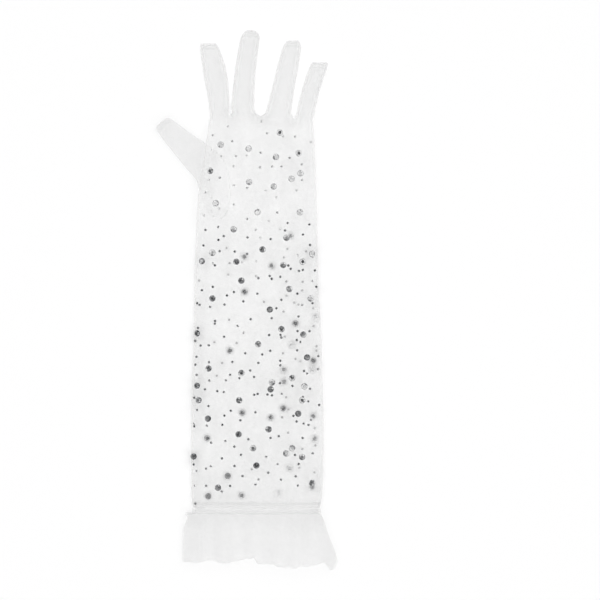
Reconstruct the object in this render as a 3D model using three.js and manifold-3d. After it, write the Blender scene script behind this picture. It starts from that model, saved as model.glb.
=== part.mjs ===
// A long dress glove of sheer tulle for a right hand, lying palm down, strewn with rhinestones.
// Millimetres, +Z up. X runs across the arm from its middle line, Y from the hem towards the
// fingertips, and Z up from the surface that the glove lies on.
import * as THREE from 'three';
import { mergeVertices } from 'three/addons/utils/BufferGeometryUtils.js';
import Module from 'manifold-3d';

const wasm = await Module();
wasm.setup();

const { lerp, smoothstep, clamp } = THREE.MathUtils;

// Cloth
const wall = 1.0;
const gap = 0.3;
const seamWidth = 2.4;

// Cells across one finger, and so across a quarter of the hand and sleeve
const backCells = 6;
const palmCells = 4;

// Levels of the palm side's middle surface: on its stones along the arm, on the table at the fingers
const armRest = 2.0;
const fingerRest = wall / 2;
const fingerDrop = { from: 346, to: 376 };
const fingerHollow = 6.6;

// Hem band round the cuff
const bandWall = 1.2;
const bandGap = 0.45;
const bandLength = 11;
const cuffHalf = 56.3;
const cuffHollow = 9.0;

// Sleeve and hand, a row for each section: its place along the arm, its two edges, and how high
// the back stands over the palm
const bodyRows = [
  { along: 0, left: -cuffHalf, right: cuffHalf, hollow: cuffHollow },
  { along: bandLength + 1, left: -cuffHalf, right: cuffHalf, hollow: cuffHollow },
  { along: 16, left: -58.2, right: 58.4, hollow: 9.4 },
  { along: 52, left: -59.2, right: 59.2, hollow: 8.6 },
  { along: 88, left: -59.4, right: 59.2, hollow: 9.8 },
  { along: 124, left: -59.2, right: 58.8, hollow: 8.8 },
  { along: 160, left: -58.4, right: 57.8, hollow: 9.6 },
  { along: 196, left: -57.6, right: 56.8, hollow: 8.6 },
  { along: 228, left: -56.8, right: 56.0, hollow: 9.2 },
  { along: 250, left: -55.9, right: 55.4, hollow: 8.6 },
  { along: 264, left: -55.0, right: 55.0, hollow: 8.4 },
  { along: 276, left: -53.8, right: 54.6, hollow: 8.4 },
  { along: 288, left: -52.6, right: 54.1, hollow: 8.6 },
  { along: 300, left: -51.2, right: 53.6, hollow: 8.8 },
  { along: 312, left: -49.4, right: 53.1, hollow: 8.8 },
  { along: 323, left: -47.8, right: 52.6, hollow: 8.6 },
  { along: 333, left: -46.5, right: 52.2, hollow: 8.2 },
  { along: 343, left: -45.2, right: 51.6, hollow: 7.4 },
];

// The knuckle line: the outer edges of the hand and the forks between the fingers
const knucklePoints = [
  { x: -42.8, y: 354.6 },
  { x: -23.4, y: 360.6 },
  { x: 2.6, y: 358.8 },
  { x: 34.6, y: 355.6 },
  { x: 50.9, y: 354.6 },
];
const knuckleBlend = { from: 296, to: 356 };
const forkBlend = { from: 328, to: 356 };

// Fingers, index to little: the middle of the tip, how far the finger bows sideways, its width
// near the fork, half way and near the tip, and the width of the flat end
const fingers = [
  { name: 'index', tipX: -42.6, tipY: 423.8, bow: 1.2, low: 19.2, middle: 19.4, tip: 16.4, end: 12.0 },
  { name: 'middle', tipX: -5.4, tipY: 434.6, bow: 1.4, low: 19.4, middle: 18.4, tip: 16.8, end: 7.0 },
  { name: 'ring', tipX: 33.2, tipY: 426.4, bow: -0.8, low: 20.4, middle: 19.0, tip: 16.4, end: 6.6 },
  { name: 'little', tipX: 56.9, tipY: 405.2, bow: 1.2, low: 16.0, middle: 15.8, tip: 15.6, end: 12.0 },
];
const fingerStations = [0.07, 0.28, 0.53, 0.76];
const fingerCap = 7.5;
const capStations = [
  { fromEnd: fingerCap, rise: 0.95 },
  { fromEnd: 4.8, rise: 0.72 },
  { fromEnd: seamWidth, rise: 0 },
  { fromEnd: 0, rise: 0 },
];

// How squarely the cloth arches over a hollow
const arch = { power: 2.6, root: 0.55 };

// Soft lengthwise folds in the back of the glove: ridges (rise > 0) and dents (rise < 0)
const foldFade = 24;
const softFolds = [
  { across: -38, from: 20, to: 190, rise: 1.2, width: 8 },
  { across: -12, from: 60, to: 250, rise: -1.1, width: 9 },
  { across: 20, from: 10, to: 170, rise: 0.9, width: 8 },
  { across: 40, from: 90, to: 300, rise: -1.0, width: 8 },
  { across: 8, from: 250, to: 345, rise: 0.8, width: 9 },
];

// Thumb, a row for each section from the heel of the hand to the tip
const thumbHeight = 6.4;
const thumbRows = [
  { x: -35.2, y: 266.6, half: 5.0 },
  { x: -34.8, y: 269.6, half: 8.4 },
  { x: -35.0, y: 277.0, half: 11.2 },
  { x: -36.4, y: 286.0, half: 13.4 },
  { x: -38.2, y: 296.2, half: 14.6 },
  { x: -43.0, y: 309.0, half: 16.8 },
  { x: -51.8, y: 320.9, half: 15.8 },
  { x: -63.9, y: 331.7, half: 13.0 },
  { x: -73.8, y: 340.7, half: 10.3 },
  { x: -80.0, y: 347.4, half: 8.6 },
  { x: -82.9, y: 350.8, half: 7.2 },
  { x: -84.6, y: 352.9, half: 5.2 },
];
const thumbHole = { x: -35.6, y: 295, halfAcross: 8.2, halfAlong: 23, sides: 20 };
const thumbLift = thumbHeight + gap + wall / 2 - armRest;
const liftShoulder = 4.5;
const liftFall = 20;
const slackOverThumb = 0.5;

// Frill below the hem band: its rows from the band down, and the folds of its upper layer from
// left to right, each with its share of the width, its height and how far it reaches down
const ruffleRows = [
  { share: 0, left: -56.8, right: 57.0, side: 4.7, crown: 9.0, fold: 0.9, under: 0.3 },
  { share: 0.12, left: -61.2, right: 60.2, side: 4.2, crown: 8.4, fold: 1.8, under: 0.6 },
  { share: 0.36, left: -65.4, right: 63.6, side: 3.6, crown: 7.2, fold: 3.0, under: 1.0 },
  { share: 0.68, left: -66.6, right: 68.4, side: 3.2, crown: 6.2, fold: 4.0, under: 1.3 },
  { share: 1, left: -66.6, right: 72.4, side: 3.0, crown: 5.6, fold: 4.6, under: 1.5 },
];
const ruffleFolds = [
  { width: 13, height: 0.8, reach: 42.4 },
  { width: 11, height: 1.0, reach: 41.6 },
  { width: 13, height: 0.9, reach: 43.8 },
  { width: 16, height: 0.7, reach: 42.2 },
  { width: 12, height: 1.0, reach: 39.4 },
  { width: 19, height: 0.7, reach: 45.2 },
  { width: 13, height: 1.0, reach: 48.0 },
  { width: 16, height: 0.8, reach: 48.4 },
  { width: 14, height: 0.9, reach: 45.0 },
  { width: 13, height: 0.8, reach: 49.4 },
];
const foldSteps = 6;

// The frill's lower layer, on the table, and how it turns up at the corners to meet the upper one
const underFolds = {
  count: 8,
  steps: 4,
  reach: 42,
  corner: { inset: 1.5, rise: 1, upperReach: 41.4, lowerReach: 37.4 },
};

// Rhinestones, and where they sit: a row for each course across the glove
const stone = { diameter: 5.4, height: 2.1, girdle: 0.4, tableShare: 0.54, sides: 8, sunk: 0.3 };
const mainCourses = [
  { along: 343, across: [21] },
  { along: 332, across: [-32] },
  { along: 328.5, across: [-7] },
  { along: 324.5, across: [38] },
  { along: 321, across: [17.5] },
  { along: 308.5, across: [-41.5] },
  { along: 306.5, across: [39.5] },
  { along: 298.5, across: [-6.5] },
  { along: 294.5, across: [15.5] },
  { along: 271.5, across: [1, 39] },
  { along: 256, across: [-20.5] },
  { along: 248.5, across: [27] },
  { along: 238, across: [5.5] },
  { along: 235, across: [-39.5] },
  { along: 227, across: [-18, 41.5] },
  { along: 224, across: [24] },
  { along: 210, across: [-13.5] },
  { along: 202.5, across: [29.5] },
  { along: 194, across: [-39.5] },
  { along: 184, across: [12] },
  { along: 166.5, across: [22.5] },
  { along: 161.5, across: [42] },
  { along: 153, across: [1.5] },
  { along: 131, across: [-43] },
  { along: 127, across: [-13.5] },
  { along: 122.5, across: [32] },
  { along: 118.5, across: [14] },
  { along: 115, across: [43] },
  { along: 102.5, across: [-15.5, 41] },
  { along: 86, across: [-43.5] },
  { along: 76.5, across: [11] },
  { along: 72, across: [-16] },
  { along: 59.5, across: [-3, 32] },
  { along: 51.5, across: [41] },
  { along: 44, across: [0] },
  { along: 24, across: [-34.5] },
];
// Stones in one piece with the back: those beside the seams, and the second ones of close pairs
const clothCourses = [
  { along: 301.5, across: [31.5] },
  { along: 279.5, across: [-36.5] },
  { along: 235, across: [49.5] },
  { along: 227.5, across: [-49] },
  { along: 195.5, across: [49] },
  { along: 163.5, across: [-53] },
  { along: 141, across: [45.5] },
  { along: 115.5, across: [-53.5] },
  { along: 112.4, across: [12.8] },
  { along: 102.5, across: [-52] },
  { along: 90.5, across: [37.5] },
  { along: 55.5, across: [26.5] },
  { along: 51.5, across: [-55.5] },
  { along: 28, across: [50] },
];
// Stones in one piece with the palm, on its underside, where the sleeve rests on them
const undersideCourses = [
  { along: 231.5, across: [-11] },
  { along: 223.5, across: [13.5] },
  { along: 200, across: [-11] },
  { along: 178, across: [52] },
  { along: 171.5, across: [35] },
  { along: 147, across: [-24] },
  { along: 138, across: [51] },
  { along: 130, across: [24.5, 50] },
  { along: 119.5, across: [25.5] },
  { along: 95, across: [24] },
  { along: 91, across: [-13] },
  { along: 88, across: [12.5, 51] },
  { along: 68, across: [-44.5, 51.5] },
  { along: 41, across: [29.5] },
  { along: 34, across: [-26] },
  { along: 24, across: [50] },
  { along: 16.5, across: [-43.5, -13.5] },
];

// Materials
const tulle = new THREE.MeshStandardMaterial({ color: '#f3f3f2', roughness: 0.85, side: THREE.DoubleSide });
const foldedTulle = new THREE.MeshStandardMaterial({ color: '#ebebea', roughness: 0.85 });
const crystal = new THREE.MeshStandardMaterial({ color: '#8d9094', roughness: 0.12, metalness: 0.6 });

// The profile across a layer of cloth that lies over a hollow: 1 along the middle, 0 at the seams
function archProfile(v) {
  return (1 - Math.abs(clamp(v, -1, 1)) ** arch.power) ** arch.root;
}

// How much of the thumb lies under a point of the hand, from 0 to 1
function aboveThumb(x, y) {
  let outside = Infinity;
  for (let i = 1; i < thumbRows.length; i += 1) {
    const a = thumbRows[i - 1];
    const b = thumbRows[i];
    const run = { x: b.x - a.x, y: b.y - a.y };
    const t = clamp(((x - a.x) * run.x + (y - a.y) * run.y) / (run.x ** 2 + run.y ** 2), 0, 1);
    const away = Math.hypot(x - a.x - t * run.x, y - a.y - t * run.y);
    outside = Math.min(outside, away - lerp(a.half, b.half, t));
  }
  return 1 - smoothstep(outside, liftShoulder, liftShoulder + liftFall);
}

function restingLevel(y) {
  return lerp(armRest, fingerRest, smoothstep(y, fingerDrop.from, fingerDrop.to));
}

function palmLevel(x, y) {
  return restingLevel(y) + thumbLift * aboveThumb(x, y);
}

function softFoldRise(x, y) {
  return softFolds.reduce((sum, fold) => {
    const across = Math.exp(-(((x - fold.across) / fold.width) ** 2));
    const fadeIn = smoothstep(y, fold.from, fold.from + foldFade);
    const fadeOut = 1 - smoothstep(y, fold.to - foldFade, fold.to);
    return sum + fold.rise * across * fadeIn * fadeOut;
  }, 0);
}

// The level of the back: it follows the palm at the seams and stands over the hollow between them,
// where it takes up only a part of what the thumb lifts the palm by
function backLevel(x, y, profile, height) {
  const lift = thumbLift * aboveThumb(x, y) * (1 - slackOverThumb * profile);
  return restingLevel(y) + lift + wall + gap + height * profile;
}

// Shares of a width at which the columns of a panel stand: both seams, and even steps between
function columnShares(width, cells) {
  const seam = seamWidth / width;
  const inner = cells - 2;
  const shares = [0, seam];
  for (let i = 1; i < inner; i += 1) {
    shares.push(lerp(seam, 1 - seam, i / inner));
  }
  shares.push(1 - seam, 1);
  return shares;
}

// Where a share of a width lies between its seams, from -1 to 1
function betweenSeams(share, width) {
  return clamp((share - 0.5) * width / (width / 2 - seamWidth), -1, 1);
}

// The points of the knuckle line, finger by finger
function knuckleLine(cells) {
  const line = [];
  fingers.forEach((finger, f) => {
    const from = knucklePoints[f];
    const to = knucklePoints[f + 1];
    const width = Math.hypot(to.x - from.x, to.y - from.y);
    columnShares(width, cells).forEach((share, i) => {
      if (i > 0 || f === 0) {
        const v = betweenSeams(share, width);
        line.push({ x: lerp(from.x, to.x, share), y: lerp(from.y, to.y, share), v });
      }
    });
  });
  return line;
}

// The sections of one finger beyond the knuckle line
function fingerSections(finger, f, cells) {
  const base = {
    x: (knucklePoints[f].x + knucklePoints[f + 1].x) / 2,
    y: (knucklePoints[f].y + knucklePoints[f + 1].y) / 2,
  };
  const length = Math.hypot(finger.tipX - base.x, finger.tipY - base.y);
  const ahead = { x: (finger.tipX - base.x) / length, y: (finger.tipY - base.y) / length };
  const side = { x: ahead.y, y: -ahead.x };
  const stations = fingerStations.map((share) => ({ s: share * length, rise: 1 }));
  capStations.forEach((station) => stations.push({ s: length - station.fromEnd, rise: station.rise }));
  return stations.map(({ s, rise }) => {
    const t = s / length;
    const straight = t < 0.5 ? lerp(finger.low, finger.middle, t * 2) : lerp(finger.middle, finger.tip, t * 2 - 1);
    const intoCap = clamp((s - length + fingerCap) / fingerCap, 0, 1);
    const width = finger.end + (straight - finger.end) * Math.sqrt(1 - intoCap ** 2);
    const bow = finger.bow * Math.sin(Math.PI * t) * -Math.sign(ahead.x);
    return columnShares(width, cells).map((share) => {
      const off = (share - 0.5) * width + bow;
      const v = betweenSeams(share, width);
      return { x: base.x + ahead.x * s + side.x * off, y: base.y + ahead.y * s + side.y * off, v, rise };
    });
  });
}

// A panel's middle surface: a grid up the sleeve and hand that parts into four fingers
function panelSurface(cells, levelAt) {
  const points = [];
  const quads = [];
  const columns = cells * fingers.length;
  const knuckles = knuckleLine(cells);
  const first = knuckles[0];
  const last = knuckles[columns];
  const addPoint = (x, y, z) => points.push(new THREE.Vector3(x, y, z)) - 1;
  const joinRows = (low, high) => {
    for (let c = 1; c < low.length; c += 1) {
      quads.push([low[c - 1], low[c], high[c], high[c - 1]]);
    }
  };
  let below = null;
  bodyRows.forEach((row) => {
    const width = row.right - row.left;
    const towardKnuckles = smoothstep(row.along, knuckleBlend.from, knuckleBlend.to);
    const ids = columnShares(width, columns).map((evenShare, c) => {
      const knuckleShare = (knuckles[c].x - first.x) / (last.x - first.x);
      const isSeam = c <= 1 || c >= columns - 1;
      const share = isSeam ? evenShare : lerp(evenShare, knuckleShare, towardKnuckles);
      const x = row.left + share * width;
      const v = betweenSeams(share, width);
      return addPoint(x, row.along, levelAt({ x, y: row.along, v, fingerV: knuckles[c].v, row, rise: 1 }));
    });
    if (below) {
      joinRows(below, ids);
    }
    below = ids;
  });
  const top = bodyRows[bodyRows.length - 1];
  const knuckleIds = knuckles.map((k) => {
    return addPoint(k.x, k.y, levelAt({ x: k.x, y: k.y, v: 0, fingerV: k.v, row: top, rise: 1 }));
  });
  joinRows(below, knuckleIds);
  fingers.forEach((finger, f) => {
    let under = knuckleIds.slice(f * cells, (f + 1) * cells + 1);
    fingerSections(finger, f, cells).forEach((section) => {
      const ids = section.map((p) => {
        return addPoint(p.x, p.y, levelAt({ x: p.x, y: p.y, v: 0, fingerV: p.v, row: top, rise: p.rise }));
      });
      joinRows(under, ids);
      under = ids;
    });
  });
  return { points, quads };
}

// A closed wall of even thickness about a middle surface of quads
function thicken({ points, quads }, thickness) {
  const normals = points.map(() => new THREE.Vector3());
  const edges = new Map();
  quads.forEach((quad) => {
    const diagonalA = new THREE.Vector3().subVectors(points[quad[2]], points[quad[0]]);
    const diagonalB = new THREE.Vector3().subVectors(points[quad[3]], points[quad[1]]);
    const normal = diagonalA.cross(diagonalB).normalize();
    quad.forEach((id, i) => {
      normals[id].add(normal);
      const next = quad[(i + 1) % 4];
      const twin = `${next}_${id}`;
      if (edges.has(twin)) {
        edges.delete(twin);
      } else {
        edges.set(`${id}_${next}`, [id, next]);
      }
    });
  });
  const position = [];
  [1, -1].forEach((face) => points.forEach((point, id) => {
    const normal = normals[id].clone().normalize();
    position.push(...point.clone().addScaledVector(normal, face * thickness / 2).toArray());
  }));
  const under = points.length;
  const index = [];
  quads.forEach(([a, b, c, d]) => {
    index.push(a, b, c, a, c, d);
    index.push(under + a, under + c, under + b, under + a, under + d, under + c);
  });
  edges.forEach(([a, b]) => index.push(a, under + a, under + b, a, under + b, b));
  const geometry = new THREE.BufferGeometry();
  geometry.setAttribute('position', new THREE.Float32BufferAttribute(position, 3));
  geometry.setIndex(index);
  return geometry;
}

// Solids for cutting and joining
function toSolid(geometry) {
  const bare = geometry.clone();
  bare.deleteAttribute('normal');
  bare.deleteAttribute('uv');
  const welded = mergeVertices(bare, 1e-4);
  return new wasm.Manifold(new wasm.Mesh({
    numProp: 3,
    vertProperties: new Float32Array(welded.attributes.position.array),
    triVerts: new Uint32Array(welded.index.array),
  }));
}

function toGeometry(solid) {
  const { vertProperties, triVerts } = solid.getMesh();
  const geometry = new THREE.BufferGeometry();
  geometry.setAttribute('position', new THREE.Float32BufferAttribute(vertProperties, 3));
  geometry.setIndex(Array.from(triVerts));
  geometry.computeVertexNormals();
  return geometry;
}

// An upright oval plug over the thumb's hole
function thumbHolePlug(bottom, top) {
  const oval = new THREE.Shape();
  oval.absellipse(thumbHole.x, thumbHole.y, thumbHole.halfAcross, thumbHole.halfAlong, 0, Math.PI * 2, false, 0);
  const settings = { depth: top - bottom, bevelEnabled: false, curveSegments: thumbHole.sides };
  return toSolid(new THREE.ExtrudeGeometry(oval, settings).translate(0, 0, bottom));
}

// A flat-backed rhinestone, its back on z = 0: a girdle, a crown of facets and a table
function stoneGeometry() {
  const radius = stone.diameter / 2;
  const profile = [
    new THREE.Vector2(0, 0),
    new THREE.Vector2(radius, 0),
    new THREE.Vector2(radius, stone.girdle),
    new THREE.Vector2(radius * stone.tableShare, stone.height),
    new THREE.Vector2(0, stone.height),
  ];
  return new THREE.LatheGeometry(profile, stone.sides).rotateX(Math.PI / 2);
}

function eachStone(courses, place) {
  courses.forEach(({ along, across }) => across.forEach((x) => place(x, along)));
}

// Where a stone's flat back lies on a piece of cloth: tilted with it and clear of it all round
function seatOn(cloth, x, y) {
  const reach = stone.diameter / 2;
  const overhead = 100;
  const ray = new THREE.Raycaster();
  const heightAt = (px, py) => {
    ray.set(new THREE.Vector3(px, py, overhead), new THREE.Vector3(0, 0, -1));
    return ray.intersectObject(cloth)[0].point.z;
  };
  const slopeX = (heightAt(x + reach, y) - heightAt(x - reach, y)) / (2 * reach);
  const slopeY = (heightAt(x, y + reach) - heightAt(x, y - reach)) / (2 * reach);
  let level = heightAt(x, y);
  for (let i = 0; i < stone.sides * 2; i += 1) {
    const angle = i * Math.PI / stone.sides;
    const dx = reach * Math.cos(angle);
    const dy = reach * Math.sin(angle);
    level = Math.max(level, heightAt(x + dx, y + dy) - slopeX * dx - slopeY * dy);
  }
  const normal = new THREE.Vector3(-slopeX, -slopeY, 1).normalize();
  return { point: new THREE.Vector3(x, y, level), normal };
}

function placeStone(object, seat, clearance) {
  object.position.copy(seat.point).addScaledVector(seat.normal, clearance);
  object.quaternion.setFromUnitVectors(new THREE.Vector3(0, 0, 1), seat.normal);
  object.updateMatrix();
}

function backPanel() {
  const levelAt = ({ x, y, v, fingerV, row, rise }) => {
    const towardForks = y > row.along ? 1 : smoothstep(y, forkBlend.from, forkBlend.to) ** 2;
    const profile = lerp(archProfile(v), archProfile(fingerV) * rise, towardForks);
    const height = lerp(row.hollow + softFoldRise(x, y), fingerHollow, towardForks);
    return backLevel(x, y, profile, height);
  };
  const cloth = new THREE.Mesh(thicken(panelSurface(backCells, levelAt), wall), tulle);
  let solid = toSolid(cloth.geometry);
  eachStone(clothCourses, (x, y) => {
    const holder = new THREE.Object3D();
    placeStone(holder, seatOn(cloth, x, y), -stone.sunk);
    solid = solid.add(toSolid(stoneGeometry().applyMatrix4(holder.matrix)));
  });
  return toGeometry(solid);
}

function palmPanel() {
  const levelAt = ({ x, y }) => palmLevel(x, y);
  let solid = toSolid(thicken(panelSurface(palmCells, levelAt), wall));
  solid = solid.subtract(thumbHolePlug(0, thumbHeight * 2));
  const underside = armRest - wall / 2;
  const foot = stoneGeometry().scale(1, 1, (underside + stone.sunk) / stone.height).rotateX(Math.PI);
  eachStone(undersideCourses, (x, y) => {
    solid = solid.add(toSolid(foot.clone().translate(x, y, underside + stone.sunk)));
  });
  return toGeometry(solid);
}

// A loft through flattened sections of the thumb, kept inside the cloth by a margin
function thumbLoft(margin) {
  const endSteps = 4;
  const radius = thumbHeight / 2 - margin;
  const points = [];
  const index = [];
  const sectionSize = 2 * (endSteps + 1);
  thumbRows.forEach((row, i) => {
    const before = thumbRows[Math.max(i - 1, 0)];
    const after = thumbRows[Math.min(i + 1, thumbRows.length - 1)];
    const ahead = new THREE.Vector3(after.x - before.x, after.y - before.y, 0).normalize();
    const side = new THREE.Vector3(ahead.y, -ahead.x, 0);
    const end = i === 0 ? margin : i === thumbRows.length - 1 ? -margin : 0;
    const centre = new THREE.Vector3(row.x, row.y, thumbHeight / 2).addScaledVector(ahead, end);
    const flat = row.half - margin - radius;
    [1, -1].forEach((hand) => {
      for (let k = 0; k <= endSteps; k += 1) {
        const angle = -Math.PI / 2 + k * Math.PI / endSteps;
        const out = hand * (flat + radius * Math.cos(angle));
        const point = centre.clone().addScaledVector(side, out);
        point.z += hand * radius * Math.sin(angle);
        points.push(...point.toArray());
      }
    });
    for (let k = 0; k < sectionSize && i > 0; k += 1) {
      const next = (k + 1) % sectionSize;
      const low = (i - 1) * sectionSize;
      const high = i * sectionSize;
      index.push(low + k, high + next, low + next, low + k, high + k, high + next);
    }
  });
  const lastSection = (thumbRows.length - 1) * sectionSize;
  for (let k = 1; k < sectionSize - 1; k += 1) {
    index.push(0, k, k + 1);
    index.push(lastSection, lastSection + k + 1, lastSection + k);
  }
  const geometry = new THREE.BufferGeometry();
  geometry.setAttribute('position', new THREE.Float32BufferAttribute(points, 3));
  geometry.setIndex(index);
  return toSolid(geometry);
}

function thumb() {
  const pocket = thumbLoft(0).subtract(thumbLoft(wall));
  return toGeometry(pocket.subtract(thumbHolePlug(thumbHeight / 2, thumbHeight * 2)));
}

// The hem band's section: over the back panel at a distance, down past the seams and along the table
function cuffOutline(off, bottom) {
  const width = cuffHalf * 2;
  const shares = columnShares(width, backCells * fingers.length);
  const over = shares.map((share) => {
    const rise = cuffHollow * archProfile(betweenSeams(share, width));
    return new THREE.Vector2(-cuffHalf + share * width, armRest + wall + gap + rise);
  });
  const line = over.map((point, i) => {
    const run = over[Math.min(i + 1, over.length - 1)].clone().sub(over[Math.max(i - 1, 0)]).normalize();
    return new THREE.Vector2(point.x - run.y * off, point.y + run.x * off);
  });
  const sideX = cuffHalf + off - wall / 2;
  line[0].x = -sideX;
  line[line.length - 1].x = sideX;
  return [...line, new THREE.Vector2(sideX, bottom), new THREE.Vector2(-sideX, bottom)];
}

function hemBand() {
  const inner = wall / 2 + bandGap;
  const outline = new THREE.Shape(cuffOutline(inner + bandWall, 0).reverse());
  outline.holes.push(new THREE.Path(cuffOutline(inner, bandWall)));
  const geometry = new THREE.ExtrudeGeometry(outline, { depth: bandLength, bevelEnabled: false });
  return geometry.rotateX(Math.PI / 2).translate(0, bandLength, 0);
}

// Points round the frill, over its upper folds from left to right and back along the table
function ruffleLoop(row) {
  const totalWidth = ruffleFolds.reduce((sum, fold) => sum + fold.width, 0);
  const width = row.right - row.left;
  const loop = [];
  let from = 0;
  ruffleFolds.forEach((fold, i) => {
    for (let k = 0; k < foldSteps; k += 1) {
      const share = (from + fold.width * k / foldSteps) / totalWidth;
      const neighbour = ruffleFolds[clamp(k < foldSteps / 2 ? i - 1 : i + 1, 0, ruffleFolds.length - 1)];
      const towardNeighbour = Math.abs(k / foldSteps - 0.5);
      const crest = (1 - Math.cos(2 * Math.PI * k / foldSteps)) / 2;
      loop.push({
        x: row.left + share * width,
        z: row.side + row.crown * archProfile(share * 2 - 1) + row.fold * fold.height * crest,
        reach: lerp(fold.reach, neighbour.reach, towardNeighbour),
      });
    }
    from += fold.width;
  });
  const { corner } = underFolds;
  loop.push({ x: row.right, z: row.side, reach: corner.upperReach });
  loop.push({ x: row.right, z: wall / 2 + corner.rise, reach: corner.lowerReach });
  const underSteps = underFolds.count * underFolds.steps;
  for (let k = 0; k <= underSteps; k += 1) {
    const x = lerp(row.right - corner.inset, row.left + corner.inset, k / underSteps);
    const crest = (1 - Math.cos(2 * Math.PI * k / underFolds.steps)) / 2;
    loop.push({ x, z: wall / 2 + row.under * crest, reach: underFolds.reach });
  }
  loop.push({ x: row.left, z: wall / 2 + corner.rise, reach: ruffleFolds[0].reach });
  return loop;
}

function ruffle() {
  const points = [];
  const quads = [];
  ruffleRows.forEach((row, r) => {
    const loop = ruffleLoop(row);
    loop.forEach((p) => points.push(new THREE.Vector3(p.x, -gap - row.share * (p.reach - gap), p.z)));
    for (let c = 0; c < loop.length && r > 0; c += 1) {
      const next = (c + 1) % loop.length;
      const high = (r - 1) * loop.length;
      const low = r * loop.length;
      quads.push([low + c, low + next, high + next, high + c]);
    }
  });
  return thicken({ points, quads }, wall);
}

const glove = new THREE.Group();

function addPiece(name, geometry, material) {
  const mesh = new THREE.Mesh(geometry, material);
  mesh.name = name;
  glove.add(mesh);
  return mesh;
}

const back = addPiece('back_panel', backPanel(), tulle);
addPiece('palm_panel', palmPanel(), tulle);
addPiece('thumb', thumb(), tulle);
addPiece('hem_band', hemBand(), foldedTulle);
addPiece('ruffle', ruffle(), tulle);

let stoneCount = 0;
eachStone(mainCourses, (x, y) => {
  stoneCount += 1;
  const mesh = addPiece(`stone_${String(stoneCount).padStart(2, '0')}`, stoneGeometry(), crystal);
  placeStone(mesh, seatOn(back, x, y), gap);
});

// The origin is under the middle of the whole glove, on the surface that it lies on
const box = new THREE.Box3().setFromObject(glove, true);
const centre = box.getCenter(new THREE.Vector3());
glove.position.set(-centre.x, -centre.y, -box.min.z);

export default glove;
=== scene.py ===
"""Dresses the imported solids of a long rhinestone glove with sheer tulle, its seams, frill and cut stones.

The glove lies palm down on a pale surface and is seen from straight above. All sizes below are millimetres in
the glove's own frame: x across the arm from its middle line, y from the hem to the fingertips, z up from the
surface. place() turns them into the frame's metres.
"""

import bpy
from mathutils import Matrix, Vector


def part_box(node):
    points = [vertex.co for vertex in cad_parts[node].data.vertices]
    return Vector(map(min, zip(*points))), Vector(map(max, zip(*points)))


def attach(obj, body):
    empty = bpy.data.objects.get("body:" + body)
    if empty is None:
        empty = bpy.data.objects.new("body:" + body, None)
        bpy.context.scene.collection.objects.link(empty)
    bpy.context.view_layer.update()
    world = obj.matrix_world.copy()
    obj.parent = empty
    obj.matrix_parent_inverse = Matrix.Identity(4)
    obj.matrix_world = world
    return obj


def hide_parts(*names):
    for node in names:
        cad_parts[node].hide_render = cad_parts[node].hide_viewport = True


bl_info = {
    "name": "Rhinestone Dress Glove",
    "version": (1, 0, 0),
    "blender": (4, 5, 0),
    "location": "3D View > Sidebar > Glove",
    "description": "Sheer tulle, seams, frill and cut stones for a long dress glove",
    "category": "Add Mesh",
}

import math
import random

import bpy
from mathutils import Matrix, Vector, noise
from mathutils.bvhtree import BVHTree

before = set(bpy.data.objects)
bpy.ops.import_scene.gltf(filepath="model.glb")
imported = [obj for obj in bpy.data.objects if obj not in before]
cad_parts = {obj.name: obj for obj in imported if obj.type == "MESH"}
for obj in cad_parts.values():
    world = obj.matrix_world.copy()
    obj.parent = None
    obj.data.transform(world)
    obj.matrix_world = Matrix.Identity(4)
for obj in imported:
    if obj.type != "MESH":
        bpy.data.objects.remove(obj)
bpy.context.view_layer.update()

# The glove's own origin, under the middle of the hem, in the frame's metres
BAND_LOW, BAND_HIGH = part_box("hem_band")
ORIGIN = Vector(((BAND_LOW.x + BAND_HIGH.x) / 2, BAND_LOW.y, 0))

# Levels of the cloth: the solids' wall and the gap between two, the palm's rest on its stones and on the
# surface, where it comes down from one to the other, and how high the back stands over a finger
WALL = 1.0
GAP = 0.3
ARM_REST = 2.0
FINGER_REST = 0.5
FINGER_DROP = (346, 376)
FINGER_HOLLOW = 6.6
# The least height of cloth over the surface
LEAST = 0.12

SEAM_WIDTH = 2.4
# Where the sleeve's cloth ends inside the casing of the hem
SLEEVE_END = 5.4

# Sleeve and hand: place along the arm, left and right edge, and how high the back stands
BODY_ROWS = (
    (0, -56.3, 56.3, 9.0),
    (5, -56.9, 56.9, 9.0),
    (9, -57.7, 57.7, 9.0),
    (16, -58.6, 59.0, 9.4),
    (52, -59.0, 60.6, 8.6),
    (88, -58.9, 60.5, 9.8),
    (124, -58.1, 59.4, 8.8),
    (160, -56.9, 58.6, 9.6),
    (196, -56.3, 56.4, 8.6),
    (228, -55.7, 55.4, 9.2),
    (250, -54.6, 55.2, 8.6),
    (264, -54.0, 54.9, 8.4),
    (276, -53.4, 54.6, 8.4),
    (288, -52.4, 54.1, 8.6),
    (300, -50.8, 53.6, 8.8),
    (312, -48.8, 53.1, 8.8),
    (323, -47.0, 52.6, 8.6),
    (333, -45.6, 52.2, 8.2),
    (343, -44.4, 51.6, 7.4),
)

# The outer edges of the hand and the forks between the fingers
KNUCKLES = ((-42.4, 354.6), (-23.4, 360.6), (2.6, 358.8), (34.6, 355.6), (50.9, 354.6))
# Where the sleeve's columns close in on the fingers, and where its hollow parts into theirs
KNUCKLE_BLEND = (296, 356)
FORK_BLEND = (328, 356)
# From where the hand's rows take on the unevenness of the knuckle line, and how much of it
SAG_FROM = 300
SAG_SHARE = 0.35

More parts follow.
